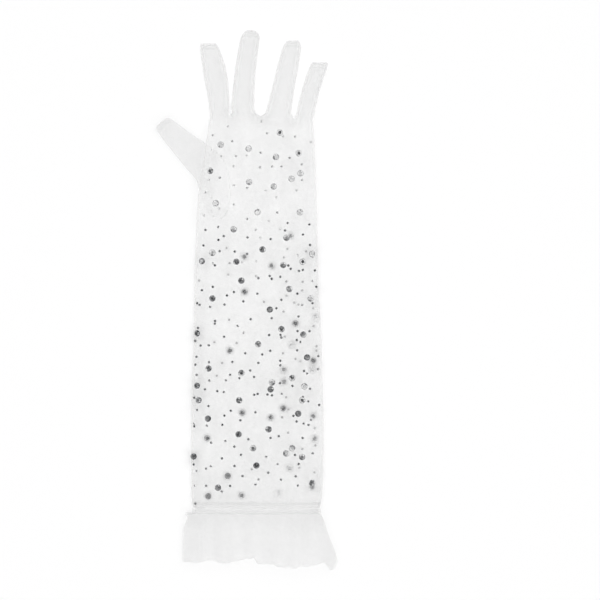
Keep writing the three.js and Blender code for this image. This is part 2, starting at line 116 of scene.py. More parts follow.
# Fingers, index to little: middle of the tip, sideways bow, widths near the fork, half way and near
# the tip, width of the flat end and how far it slants, how far the base stands aside, and how far its left
# and right flares reach
FINGERS = (
    (-43.6, 423.8, 1.8, 17.6, 21.0, 15.6, 12.6, -1.9, 0.2, 9, 5),
    (-4.5, 435.6, 1.6, 21.2, 18.6, 16.2, 3.4, 0.0, -2.5, 5, 4),
    (33.4, 426.4, 0.2, 22.8, 19.2, 14.6, 7.4, 1.8, 0.3, 5, 8),
    (57.3, 406.8, 1.2, 16.0, 15.8, 15.6, 12.0, 3.2, 0.0, 7, 6),
)
# How far up a finger its base comes to stand aside and its rows lean with the knuckle line, and the share of
# its length where they start to slant with its flat end
ASIDE_REACH = 5
LEAN_REACH = 14
SLANT_FROM = 0.8
# The round end of a finger, the width of the seam across it, and the share of its height by the distance
# from the tip
FINGER_CAP = 7.5
TIP_SEAM = 5.6
TIP_RISE = ((0, 0.0), (2.4, 0.0), (4.8, 0.72), (7.5, 0.95), (10, 1.0))
# A distance that stands for far from any fingertip
FAR = 99.0
# The two powers that shape the profile of cloth over a hollow
ARCH = (2.6, 0.55)

# How far the back and the palm side stand off their levels, at the seam and in the middle
BACK_OFF = (-0.5, 0.55)
PALM_OFF = (0.5, -0.25)
# How far from a seam the palm side is down, as a share of half the width, on the arm and on a finger
PALM_DOWN = (0.15, 0.45)

# Fine creases: height, size across and along, seed
ARM_CREASES = ((0.55, 13, 85, 3.1), (0.3, 6, 30, 7.7))
HAND_CREASES = ((0.5, 15, 26, 1.3),)
FINGER_CREASES = ((0.45, 8, 6.5, 5.9),)
PALM_CREASE = (12, 40, 9.2)
PALM_CREASE_HEIGHT = 0.3
# Where the creases of the hand and of the fingers come in along the glove, and how the hand's are slanted
HAND_FROM = (235, 300)
FINGERS_FROM = (352, 380)
HAND_SLANT = (0.5, 0.4)

# Share of the upper arm's cloth that is yarn, and its unevenness: share, size across and along, seed
YARN = 0.114
YARN_DRIFT = ((0.022, 22, 90, 12.4), (0.014, 8, 36, 15.8))
# Rows of what the yarn's share gains, from nothing at one value to the whole at the other: along the glove in
# the fingers, the lower sleeve and near the hem, beside a seam, round a fork and across a fingertip
YARN_ALONG = ((0.09, 340, 366), (0.018, 260, 160), (0.055, 80, 10))
YARN_AT_SEAM = (0.012, 0.965, 0.985)
YARN_AT_FORK = (0.04, 11, 2)
YARN_AT_TIP = (0.03, TIP_SEAM / 2 + 1.2, TIP_SEAM / 2)
# The denser place at a fork is wider across than along
FORK_SPREAD = 0.8
# How much of the yarn's share is kept where the cloth stands upright, and between which slopes it falls to
# that: thinner upright cloth is painted light, lightening the shade that falls on upright walls
STEEP_SHARE = 0.45
STEEP_SLOPES = (0.1, 0.85)

# Soft lengthwise folds of the back: place across, from, to, rise, width
SOFT_FOLDS = (
    (-38, 20, 190, 1.2, 8),
    (-12, 60, 250, -1.1, 9),
    (20, 10, 170, 0.9, 8),
    (40, 90, 300, -1.0, 8),
    (8, 250, 345, 0.8, 9),
)
# How far a fold takes to fade in and out along the arm
FOLD_FADE = 24

THUMB_HEIGHT = 6.4
# Thumb, from the heel of the hand to the tip: middle of the section and half its width
THUMB_ROWS = (
    (-35.2, 266.6, 5.0),
    (-34.8, 269.6, 8.4),
    (-35.0, 277.0, 11.2),
    (-36.4, 286.0, 13.4),
    (-38.2, 296.2, 14.6),
    (-42.0, 309.6, 15.6),
    (-52.2, 320.5, 15.0),
    (-64.2, 331.4, 12.6),
    (-74.2, 340.9, 10.7),
    (-80.9, 347.7, 9.3),
    (-84.1, 351.0, 8.2),
    (-85.8, 353.0, 6.6),
)
# The seam that joins the thumb to the palm, all round
THUMB_SEAM = (
    (-40.0, 327.6), (-28.4, 322.2), (-23.9, 315.0), (-23.9, 296.1), (-24.8, 281.7), (-28.4, 269.1),
    (-35.6, 265.5), (-41.0, 272.7), (-37.4, 279.9), (-45.5, 293.4), (-46.4, 305.1), (-42.8, 315.0),
)
# Points of that seam, how far apart
THUMB_SEAM_STEP = 1.6
# The seam's strip: place across, level, and the yarn that it adds
THUMB_SEAM_STRIP = ((-0.7, 6.55, -0.02), (0.0, 6.8, 0.01), (0.7, 6.55, -0.02))
# The thumb's net of points: round it and along it
THUMB_SIDES = 36
THUMB_STEPS = 62
# Its round ends, the least of their height and width, the powers that square its section, and how far its
# cloth stays inside the thumb's size, across and in height
THUMB_ROUND = 2.5
THUMB_END_LEAST = 0.004
THUMB_END_WIDTH = 0.8
THUMB_SQUARE = (0.75, 0.7)
THUMB_INSIDE = (0.3, 0.25)
# Its creases, and the share of them that its underside has
THUMB_CREASES = ((0.35, 7, 9, 4.4),)
THUMB_UNDER_CREASED = 0.3
# How far beside the upper side the underside lies in the flat cloth
THUMB_FLAT_OFF = 40
# What is open to the hand: the faces above this share of the height, this far inside the hand's edge
THUMB_OPEN_ABOVE = 0.7
THUMB_OPEN_INSIDE = 2
# Share of yarn in the thumb, what it gains at the edges and the tip, and what shows of it under the palm's
# cloth, and under both ends of the palm's hole
THUMB_YARN = 0.095
THUMB_YARN_AT_EDGE = (0.05, 0.86, 0.97)
THUMB_YARN_AT_TIP = (0.05, 6, 4.5)
THUMB_YARN_HIDDEN = 0.01
THUMB_YARN_IN_HOLE = (0.16, 0.06)
THUMB_HOLE_SPAN = (-44, -26)
# Where the upper side and the underside fade, from the hand's edge inwards
THUMB_UPPER_FADE = (0.2, 1.8)
THUMB_UNDER_FADE = (0, 1.6)
# How far inside the thumb's outline the palm's cloth is cut away
HOLE_INSIDE = 0.6

# How far the thumb lifts the hand, the level shoulder and the slope beside it, and the share of the lift that
# the slack of the back takes up
THUMB_LIFT = THUMB_HEIGHT + GAP + WALL / 2 - ARM_REST
LIFT_SHOULDER = 4.5
LIFT_FALL = 20
SLACK_OVER_THUMB = 0.5

# Seam round the outline: the share of its width that the strip spans, its level inside as a share of the way
# from the palm side to the back, its rise along the middle, and the yarn that it adds from the edge inwards
SEAM_SPAN = 0.95
SEAM_LEVEL = 0.45
SEAM_RISE = 0.12
SEAM_YARN = (0.06, 0.06, 0.01)
# The seam stops this far from the thumb, which covers it
SEAM_CLEARS_THUMB = 0.5

# Hem band: half its width, how high the hollow stands, its length, and how far out its middle line runs over
# the sleeve
CUFF_HALF = 56.3
CUFF_HOLLOW = 9.0
BAND_LENGTH = 11.0
BAND_OUT = 1.2
# Its side, and the corner and level of its flat underside
BAND_SIDE = CUFF_HALF + 1.05
BAND_UNDER = 0.68
BAND_CORNER = (
    (BAND_SIDE + 0.1, 3.4), (BAND_SIDE + 0.1, 2.2), (BAND_SIDE - 0.2, 1.1), (BAND_SIDE - 1.2, BAND_UNDER),
)
BAND_UNDER_INSET = 2.5
# Steps over the arm and back below it, and how far apart its points are spaced at last
BAND_ARC_STEPS = 160
BAND_UNDER_STEPS = 100
BAND_SPACING = 0.9
# The casing's section: place along the arm, and how far out of its middle line
BAND_SECTION = (
    (0.0, 0.1), (0.4, 0.36), (1.5, 0.5), (3.4, 0.6), (5.5, 0.64), (7.6, 0.6), (9.5, 0.5), (10.6, 0.36),
    (11.0, 0.1),
)
# Puckers of the casing: height along its middle, share of it along the edges, and the size round and along
# and seed, and the waves of its edges
BAND_PUCKER = 0.5
BAND_EDGE_PUCKER = 0.35
BAND_PUCKERS = (2.4, 9, 2.2)
BAND_WAVE = ((0.3, 7, 9, 8.8),)
# Share of yarn in the casing where it holds the sleeve and beyond, what it loses at both sides and along its
# lower edge, and its unevenness
BAND_YARN = (0.31, -0.1)
BAND_YARN_AT_SIDE = (-0.1, CUFF_HALF - 2, CUFF_HALF + 0.5)
BAND_YARN_AT_EDGE = (-0.12, 2, 0.4)
BAND_YARN_DRIFT = ((0.03, 6, 6, 7.3),)

# Lockstitches: rows along the arm, distance out of the casing's middle line, the first and the spacing, and
# the thread's radius, length and bow
STITCH_ROWS = (1.5, 9.5)
STITCH_OUT = 0.62
FIRST_STITCH = 1.0
STITCH_SPACING = 2.3
STITCH_RADIUS = 0.16
STITCH_LENGTH = 1.6
STITCH_BOW = 0.2

# Frill rows from the band down: share of its reach, left, right, side level, crown, folds above and below
FRILL_ROWS = (
    (0.0, -58.0, 57.2, 4.7, 9.0, 0.9, 0.3),
    (0.03, -64.6, 58.8, 4.5, 8.8, 1.2, 0.4),
    (0.08, -62.4, 59.6, 4.3, 8.6, 1.5, 0.5),
    (0.16, -63.8, 61.2, 4.1, 8.2, 2.0, 0.6),
    (0.36, -66.6, 63.8, 3.6, 7.2, 2.8, 1.0),
    (0.68, -67.0, 68.6, 3.2, 6.2, 3.6, 1.3),
    (1.0, -67.2, 73.2, 3.0, 5.6, 4.0, 1.5),
)
# Upper folds from left to right: share of the width and height
FRILL_FOLDS = (
    (13, 0.8), (11, 1.0), (13, 0.9), (16, 0.7), (12, 1.0), (19, 0.7), (13, 1.0), (16, 0.8), (14, 0.9),
    (13, 0.8),
)
# The frill's lower edge: place across, and how far it reaches below the hem
FRILL_EDGE = (
    (-67.2, 42.7), (-60.0, 43.2), (-55.3, 43.9), (-49.0, 42.4), (-44.9, 41.4), (-36.8, 41.9), (-34.0, 44.2),
    (-26.2, 43.9), (-19.0, 42.2), (-13.8, 41.0), (-9.0, 39.7), (-2.4, 39.4), (0.6, 44.2), (8.0, 44.6),
    (15.3, 45.0), (18.4, 47.2), (27.8, 48.0), (35.2, 48.6), (38.6, 47.0), (48.5, 46.8), (56.8, 45.0),
    (61.6, 43.2), (64.6, 46.2), (67.4, 50.4), (70.3, 49.4), (73.2, 43.0),
)
# Folds below, how much further they reach than the upper ones, the underside's level, and how far inside
# the sides it ends
UNDER_FOLDS = 8
UNDER_FURTHER = 0.9
UNDER_LEVEL = 0.22
UNDER_INSET = 1.4
# How far the upper cloth sinks below the middle of the solid's wall, and the level where the sides turn under
FRILL_SINKS = 0.2
FRILL_TURN = 1.4
# Points for each fold above and below, and rows along the frill, which crowd a little towards the band
FOLD_STEPS = 26
UNDER_STEPS = 20
FRILL_STEPS = 30
FRILL_CROWDING = 1.1
# The width that the frill's unevenness is worked out on, and its gathers, ripples, ragged edge and the dents
# of its underside: height, size across and as a share of the reach, seed
FRILL_WIDTH = 112
GATHERS = ((0.9, 1.5, 1 / 3, 6.1),)
RIPPLES = ((1.1, 4.2, 0.4, 2.9),)
RAGGED_EDGE = ((0.5, 2.4, 1, 3.3),)
UNDER_DENT = (3, 1 / 3, 1.7)
UNDER_DENT_HEIGHT = 0.25
# How fast the gathers fade towards the edge, and the share of the width at both sides that they leave even
GATHERS_FADE = 1.3
FRILL_EVEN_END = 1 / 12
# The frill starts this far inside the band, with a small tuft that stands up at the casing's left end:
# height, where it starts and is whole to the left, and where it fades along the frill
FRILL_INSIDE = 0.4
TUFT = (2.0, 58, 62)
TUFT_FADE = (0.1, 0.03)
# The frill's cut length, and its share of yarn, from the band to the edge: from, to, between which shares of
# its reach, what the edge gains, and its unevenness with the share of the reach where that is whole. The yarn
# that the edge gains is painted shade, darkening the rim
FRILL_LENGTH = 46
FRILL_YARN = (0.16, 0.07)
FRILL_YARN_SPAN = (-0.1, 0.45)
FRILL_YARN_AT_EDGE = (0.02, 0.93, 0.97)
FRILL_YARN_DRIFT = ((0.03, 9, 60, 18.6),)
FRILL_DRIFT_FROM = 0.25
# Rolled edge: radius, how flat it lies, level, share of yarn, and sides
ROLL_RADIUS = 0.3
ROLL_FLATTEN = 0.8
ROLL_LEVEL = 0.32
ROLL_YARN = 0.03
ROLL_SIDES = 6

# Main stones, each a node of its own, in order: place, and the share of facets that are painted as throwing
# light back, a painted highlight, less than 0 where the same share lies round a dark middle
MAIN_STONES = (
    (21, 343, -0.85), (-32, 332, 0.87), (-7, 328.5, 0.9), (38, 324.5, -0.9), (17.5, 321, 0.65),
    (-41.5, 308.5, -0.4), (39.5, 306.5, 0.95), (-6.5, 298.5, 0.83), (15.5, 294.5, 0.75), (1, 271.5, 0.72),
    (39, 271.5, 0.75), (-20.5, 256, 0.5), (27, 248.5, 0.5), (5.5, 238, 0.25), (-39.5, 235, 0.55),
    (-18, 227, 0.2), (41.5, 227, -0.8), (24, 224, 0.45), (-13.5, 210, 0.15), (29.5, 202.5, 0.4),
    (-39.5, 194, 0.12), (12, 184, 0.05), (22.5, 166.5, 0.3), (42, 161.5, 0.27), (1.5, 153, 0.35),
    (-43, 131, -0.25), (-13.5, 127, -0.47), (32, 122.5, -0.5), (14, 118.5, 0.5), (43, 115, 0.55),
    (-15.5, 102.5, 0.12), (41, 102.5, -0.7), (-43.5, 86, 0.0), (11, 76.5, 0.22), (-16, 72, 0.0),
    (-3, 59.5, -0.5), (32, 59.5, 0.55), (41, 51.5, 0.42), (0, 44, 0.0), (-34.5, 24, 0.15),
)
# More large stones of the back, beside the seams and between the main ones, with their share of painted lit
# facets
SIDE_STONES = (
    (31.5, 301.5, 0.87), (-36.5, 279.5, 0.72), (49.9, 234.1, 0.65), (-49, 227.5, 0.05), (48.7, 194, 0.55),
    (-53.3, 162.6, 0.0), (45.5, 141, 0.0), (-53.5, 115.5, 0.0), (12.8, 112.4, 0.1), (-52, 102.5, 0.2),
    (37.5, 90.5, 0.0), (26.7, 54.8, 0.55), (-56.6, 51.7, 0.05), (50, 28, 0.2),
)
# Large stones of the palm side, which show through the cloth, with the painted light on their backs
UNDERSIDE_STONES = (
    (-11, 231.5, 0.6), (13.5, 223.5, 0.6), (-11, 200, 0.3), (53.1, 177.4, 0.87), (35, 171.5, 0.2),
    (-24, 147, 0.4), (51, 138, 0.25), (24.5, 130, 0.62), (50, 130, 0.9), (24.8, 119.3, 0.6),
    (24, 95, 0.2), (-13, 91, 0.35), (12.9, 86.7, 0.42), (51, 88, 0.57), (-44.5, 68, 0.25),
    (52.3, 67.6, 0.77), (29.5, 41, 0.8), (-26, 34, 0.0), (50, 24, 0.7), (-43.6, 15.7, 0.05),
    (-13.5, 16.5, 0.35), (30.7, 250.5, 0.8), (31.9, 152.1, 0.93), (19.7, 18.2, 0.93),
)
# How far from such a stone's middle its glue makes the net see-through, wholly and not at all, and how much
# of the yarn that hides from the back and from the palm side
GLUE_CLEARS = (2.2, 4.4)
GLUE_ON_BACK = 0.06
GLUE_ON_PALM = 0.14
# Small stones of the back, charted from the fingers down: dark ones, with little painted light
SMALL_STONES = (
    (4.6, 353.2), (-25.9, 348.9), (9.7, 342.6), (-39, 340.8), (24, 339.8), (34.9, 339.3), (-22, 335.3),
    (3.9, 325.2), (-18.5, 322), (29.6, 320.4), (40.4, 314.7), (22.6, 312.5), (3.3, 311.5), (41, 300.5),
    (-32.9, 302.5), (-42.9, 300.7), (-46.1, 289.2), (-8.2, 293.1), (8.5, 290.7), (17.9, 284.7),
    (-20.1, 278.1), (18.9, 271.4),
    (-47.1, 268.6), (-8.5, 265.5), (28.1, 261.6), (47.6, 260.6), (-34.2, 258), (-45.8, 255.6), (25.7, 255.1),
    (41.8, 251.3), (-29.3, 249.9), (-7.9, 248.9), (12.8, 247.3), (-34.1, 246.6), (48.1, 242.1),
    (-47.7, 241.7), (-33, 236.4), (-19.5, 236.1), (-8.4, 234), (50.2, 231.4), (28.6, 223.6), (-37.3, 223.7),
    (30.8, 220.6), (41.6, 219.7), (38.2, 218.7), (52.5, 219.2), (11.9, 214.2), (21.4, 213.5), (1.8, 212.2),
    (13.7, 211.6), (53.9, 204.5), (-39.2, 204.4), (-49.1, 201.4), (-20.2, 199.8), (0.9, 198.2),
    (36.7, 198.3), (-26.5, 196.7), (-11.7, 191.4), (22.4, 192.8), (50.4, 189.8), (-53.4, 189.7),
    (-51.2, 188.2), (-28.7, 188.5), (-41.6, 186.5), (17.9, 185.2), (37.8, 177.8), (13.7, 176.3),
    (-5.1, 175.3), (-37.1, 173.8), (-37.4, 171.4), (-16.9, 169.2), (-52.6, 167.6), (36.9, 164.7),
    (47.7, 164.6), (21.7, 161.2), (11.4, 161.1), (-29.1, 159.6), (22.4, 158.8), (36.2, 156.6),
    (-55.2, 155.8), (-42.8, 152), (-50.2, 151.6), (36.6, 147.4), (12.4, 147), (-10, 144.8), (5.3, 143.7),
    (55.6, 142.1), (-54, 141.5), (21.4, 138.1), (-42.6, 136.8), (-21.5, 136.9), (1.8, 136.1), (21.4, 134),
    (-55, 134.4), (55.3, 130.3), (-5.6, 129.3), (42.8, 128.8), (-53.9, 125.2), (-23.6, 125.4),
    (-2.1, 123.5), (-15.4, 122.3), (-42.4, 120.2), (21, 117.9), (32.3, 115.4), (48.2, 112.9),
    (-46.3, 112.4), (-35.2, 110.8), (1.1, 108.3), (-2, 107.5), (10, 107.7), (14, 107), (-56, 104.6),
    (46.5, 101.4), (56.4, 98.1), (-43, 97.3), (-23, 93.2), (-0.9, 91.8), (-28.7, 88.8), (33.2, 88.6),
    (-14.4, 84.6), (36.1, 83.5), (46.8, 80.4), (-30.7, 80.5), (-56, 78.8), (20.1, 70.4), (12.7, 68.8),
    (41.5, 68.7), (-7.2, 67.5), (-40.6, 64.5), (-19.8, 60.9), (50.5, 54.6), (-13.8, 53.5), (34.6, 53.4),
    (-31, 50.3), (38, 45.2), (-19.7, 43.6), (-56.5, 44.5), (10.6, 37.6), (-12.5, 34.5), (35.3, 34.2),
    (-45.2, 25.6), (-23.6, 25.6), (-31.1, 20.6), (-54.9, 9.4),
)
# Small stones of the back that are painted half lit
SMALL_LIT_STONES = (
    (-39.5, 327.6), (-31.3, 321.7), (-8.6, 322.2), (14.4, 312.2), (-20.5, 312.6), (-20.6, 295.5),
    (-33.7, 274.5), (11.1, 263.7), (-0.7, 255.9), (21.2, 256.6), (3.6, 248.3),
    (37.1, 232.8), (-0.2, 227.4), (-12.8, 226.2), (-38.9, 225.5), (0, 213.9), (50.4, 209.4), (40.9, 188.4),
    (-11.3, 163.3), (39.4, 154.9), (45.3, 126.4), (-27.3, 120.7), (-29.3, 109.9), (22.6, 108.1),
    (41.7, 105.4), (-53.5, 93.7), (49.1, 84.8), (42.4, 81.4), (-56, 81.4), (-44.6, 79.6), (-28, 65.8),
    (8.8, 51.7), (19.2, 45.4), (-41, 43.2), (-45.1, 40.9), (-53.9, 38.9), (2, 31.3), (22.2, 31.4),
    (-0.8, 27), (37.4, 25.9), (-55.4, 25.7),
)
# Small stones of the palm side
SMALL_UNDERSIDE_STONES = (
    (-27.1, 239.3), (27.5, 238.5), (44.4, 236.3), (24.7, 231), (-24.3, 225.8), (-25.7, 215.5),
    (-51.8, 210.2), (41.5, 209), (26.9, 209.3), (41, 201.2), (27.1, 196.3), (6.6, 191), (34, 190.2),
    (37.8, 188.6), (50.9, 185.2), (24.3, 182), (-24.7, 174.7), (51.4, 169), (25.5, 159.5), (-18, 153.8),
    (-38.2, 154.5), (54, 151), (54, 147), (23.9, 144.5), (35, 139.5), (39.4, 137.5), (-30.9, 135.8),
    (-35.8, 124.2), (26.7, 104.9), (28.8, 94), (23.1, 86.8), (52.6, 77), (28.4, 73), (53, 61.6),
    (41.2, 58.4), (38.6, 41.3), (-4.4, 40.2), (52.3, 37.3), (48.8, 335), (36, 291.5),
)
# The large and the small stone as they are cut: the table is a share of the diameter, and a star has a
# shoulder and eight facets that run up to points round the table
STONE = {"diameter": 5.8, "height": 2.1, "girdle": 0.4, "table": 0.54, "sides": 16, "star": True}
SMALL_STONE = {"diameter": 2.4, "height": 1.0, "girdle": 0.25, "table": 0.56, "sides": 8, "star": False}
# A large stone's shoulder, as a share of its width and of the crown's rise, and the rim of its back, as a
# share of the radius
SHOULDER_WIDTH = 0.84
SHOULDER_RISE = 0.45
BACK_RIM = 0.4
# How upright a face is that counts as table or back, and what still counts as crown
LEVEL_FACE = 0.9
CROWN_FACE = 0.1
# A slanted direction along which no two corners of a stone lie level
CORNER_ORDER = Vector((0.62, 0.38, 7))
# Where the outline of a large stone starts and the middle of its back ends, as shares of the radius
OUTLINE_FROM = 0.87
BACK_MIDDLE = 0.3
# Least and most painted brightness of a facet, which paints highlights and shade into its colour: on a
# large stone's outline and the crown, lit and dark, on the table, the middle of the back, and the girdle with
# the rest of the back
OUTLINE_LIT = (0.25, 0.5)
OUTLINE_DARK = (0.0, 0.25)
CROWN_LIT = (0.6, 1.0)
CROWN_DARK = (0.0, 0.2)
TABLE_GLINT = (0.0, 0.2)
BACK_GLINT = (0.05, 0.15)
SIDE_GLINT = (0.15, 0.3)
# What a stone's painted shine adds to the table, the back and the girdle
TABLE_GAIN = (0.5, 0.3, 0.65)
BACK_GAIN = 0.7
SIDE_GAIN = (0.2, 0, 0.2)
SIDE_SHINE = 0.5
# Painted grey that the table and the dark side of the crown keep, on a large stone and on a small one
LARGE_GREYS = (0.14, 0.15)
SMALL_GREYS = (0.1, 0.05)
# How far a stone leans off its cloth at most, how level it lies against the cloth's slope, how far off it its
# back lies, and how much of its overlap it is raised by
LEAN = 0.06
LEVELLING = 1.2
GLUE_LAYER = 0.06
OVERLAP_SHARE = 0.7
# How far off the surface the search for the cloth starts, and at how many places round a stone it is made
SEARCH_FROM = 40
RIM_TESTS = 8
# The height of an underside stone, pressed into the cloth, as a share of a loose one's
PRESSED = 0.74
# The painted shine of small stones on the hand, lit ones and those below, and where along the glove it takes
# over, and the painted shine they lose at the knuckles
HAND_SHINE = 0.6
HAND_SHINE_FROM = (248, 276)
LIT_HAND_SHINE = 0.7
LIT_HAND_SHINE_FROM = (110, 270)
KNUCKLE_SHINE_DROP = (-0.09, 285, 315)
UNDERSIDE_SHINE = 0.9

# Patterns as cells to the metre: slubs of the yarn 3.8 mm apart, painted specks of light in a stone 1.1 mm
# apart, and ridges of sewing thread and fibres of paper, both drawn coarser than real ones so that they show
SLUBS = 260.0
SPECKS = 900.0
RIDGES = 700.0
FIBRES = 900.0
# A wave pattern of scale 1 has its bands this far apart
WAVE_BAND = math.pi / 10
# Distance between the turns of the thread that binds a seam, in metres
BINDING_PITCH = 0.0011
# The tulle's materials: colour in the shade of a slub and beside it, and how much a thread of the net covers.
# Their grey on white yarn is painted shade, and the casing's darker grey is painted shade for the shadow that
# it doesn't cast
TULLES = {
    "nylon_tulle": ("#d6d6d6", "#dcdcdc", 0.1),
    "gathered_tulle": ("#d0d0d0", "#d8d8d8", 0.12),
    "casing_tulle": ("#c7c7c7", "#cfcfcf", 0.12),
}

# The middle of the picture, the level that its width is measured at, and the camera's sensor in millimetres
PICTURE_MIDDLE = (39.15, 192.6)
PICTURE_LEVEL = 6
SENSOR = 36
# Surface and soft lamps, in metres: the surface's side, how far out and up the lamps hang, and their side
SURFACE_SIDE = 6
LAMP_OUT = 1.15
LAMP_SIDE = 1.2


def place(x, y, z):
    """A point of the glove's own frame, in millimetres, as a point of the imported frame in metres."""
    return Vector((x / 1000, y / 1000, z / 1000)) + ORIGIN


def ease(value, low, high):
    """0 below low, 1 above high, and a smooth step between."""
    share = min(max((value - low) / (high - low), 0.0), 1.0)
    return share * share * (3 - 2 * share)


def mix(a, b, share):
    """The value that lies share of the way from a to b."""
    return a + (b - a) * share


def through(rows, along):
    """The row of a table at a place along it, on a smooth curve through the table's rows."""
    last = len(rows) - 1
    i = max(k for k in range(last) if rows[k][0] <= max(along, rows[0][0]))
    low, high = rows[i], rows[i + 1]
    before, after = rows[max(i - 1, 0)], rows[min(i + 2, last)]
    step = high[0] - low[0]
    t = min(max((along - low[0]) / step, 0.0), 1.0)
    values = []
    for a, b, c, d in zip(before[1:], low[1:], high[1:], after[1:]):
        slope_b = (c - a) / max(high[0] - before[0], 1e-6) * step
        slope_c = (d - b) / max(after[0] - low[0], 1e-6) * step
        limit = 3 * abs(c - b)
        slope_b = max(-limit, min(limit, slope_b))
        slope_c = max(-limit, min(limit, slope_c))
        h = (2 * t**3 - 3 * t**2 + 1, t**3 - 2 * t**2 + t, -2 * t**3 + 3 * t**2, t**3 - t**2)
        values.append(b * h[0] + slope_b * h[1] + c * h[2] + slope_c * h[3])
    return values


def between(points, value):
    """The value of a table of pairs at a place, straight between its points."""
    for (x0, y0), (x1, y1) in zip(points, points[1:]):
        if value <= x1:
            return mix(y0, y1, min(max((value - x0) / (x1 - x0), 0.0), 1.0))
    return points[-1][1]


def crease(x, y, wide, long, seed):
    """Smooth unevenness from -1 to 1 with its own size across and along the arm."""
    return noise.noise(Vector((x / wide, y / long, seed)))


def creases(x, y, rows):
    """Unevenness from rows of a height, the size across and along, and a seed."""
    return sum(height * crease(x, y, wide, long, seed) for height, wide, long, seed in rows)


def added(row, value):
    """What a row of gain, start and full adds: nothing at the start, and the whole gain from full on."""
    gain, start, full = row
    return gain * ease(value, start, full)


def arch(v):
    """The profile of cloth over a hollow: 1 along the middle, 0 at the seams."""
    return max(1 - min(abs(v), 1.0) ** ARCH[0], 0.0) ** ARCH[1]


def round_corner(share):
    """The profile of a round corner: 1 where it starts, then quickly and at last slowly down to 0."""
    return 1 - math.sqrt(1 - max(1 - share, 0.0) ** 2)


def beyond_thumb(x, y):
    """How far a point lies outside the thumb's outline, less than 0 inside it."""
    outside = math.inf
    for (ax, ay, a_half), (bx, by, b_half) in zip(THUMB_ROWS, THUMB_ROWS[1:]):
        run_x, run_y = bx - ax, by - ay
        t = ((x - ax) * run_x + (y - ay) * run_y) / (run_x**2 + run_y**2)
        t = min(max(t, 0.0), 1.0)
        away = math.hypot(x - ax - t * run_x, y - ay - t * run_y)
        outside = min(outside, away - mix(a_half, b_half, t))
    return outside


def above_thumb(x, y):
    """How much of the thumb lies under a point of the hand, from 0 to 1."""
    return 1 - ease(beyond_thumb(x, y), LIFT_SHOULDER, LIFT_SHOULDER + LIFT_FALL)


def resting_level(y):
    """The palm side's level: on its stones along the arm, on the surface at the fingers."""
    return mix(ARM_REST, FINGER_REST, ease(y, *FINGER_DROP))


def soft_folds(x, y):
    """How much the soft lengthwise folds raise or lower the back."""
    rise = 0.0
    for across, low, high, height, width in SOFT_FOLDS:
        fade = ease(y, low, low + FOLD_FADE) * (1 - ease(y, high - FOLD_FADE, high))
        rise += height * math.exp(-(((x - across) / width) ** 2)) * fade
    return rise


def column_shares(width, cells):
    """Shares of a width at which columns stand: both edges, both seams and even steps between."""
    seam = SEAM_WIDTH / width
    inner = cells - 2
    steps = [mix(seam, 1 - seam, i / inner) for i in range(1, inner)]
    return [0.0, seam, *steps, 1 - seam, 1.0]


def between_seams(share, width):
    """Where a share of a width lies between its seams, from -1 to 1."""
    return min(max((share - 0.5) * width / (width / 2 - SEAM_WIDTH), -1.0), 1.0)

def smooth_loop(points, step):
    """A closed smooth curve through points, as points about step apart."""
    line = []
    count = len(points)
    for i in range(count):
        a, b, c, d = (Vector(points[(i + k) % count]) for k in (-1, 0, 1, 2))
        parts = max(round((c - b).length / step), 1)
        for k in range(parts):
            t = k / parts
            spot = b * 2 + (c - a) * t + (a * 2 - b * 5 + c * 4 - d) * t**2 + (b * 3 - a - c * 3 + d) * t**3
            line.append(spot / 2)
    return line


THUMB_SEAM_LOOP = smooth_loop(THUMB_SEAM, THUMB_SEAM_STEP)


def inside_thumb_seam(x, y):
    """True if a point lies inside the seam that joins the thumb to the palm."""
    inside = False
    for a, b in zip(THUMB_SEAM_LOOP, THUMB_SEAM_LOOP[1:] + THUMB_SEAM_LOOP[:1]):
        if (a[1] > y) != (b[1] > y) and x < mix(a[0], b[0], (y - a[1]) / (b[1] - a[1])):
            inside = not inside
    return inside


def left_edge(y):
    """Where the left edge of the sleeve and hand lies."""
    return through(BODY_ROWS, min(y, BODY_ROWS[-1][0]))[0]


def middle_of(points, face):
    """The mean of a face's corners."""
    return [sum(points[i][axis] for i in face) / len(face) for axis in range(3)]


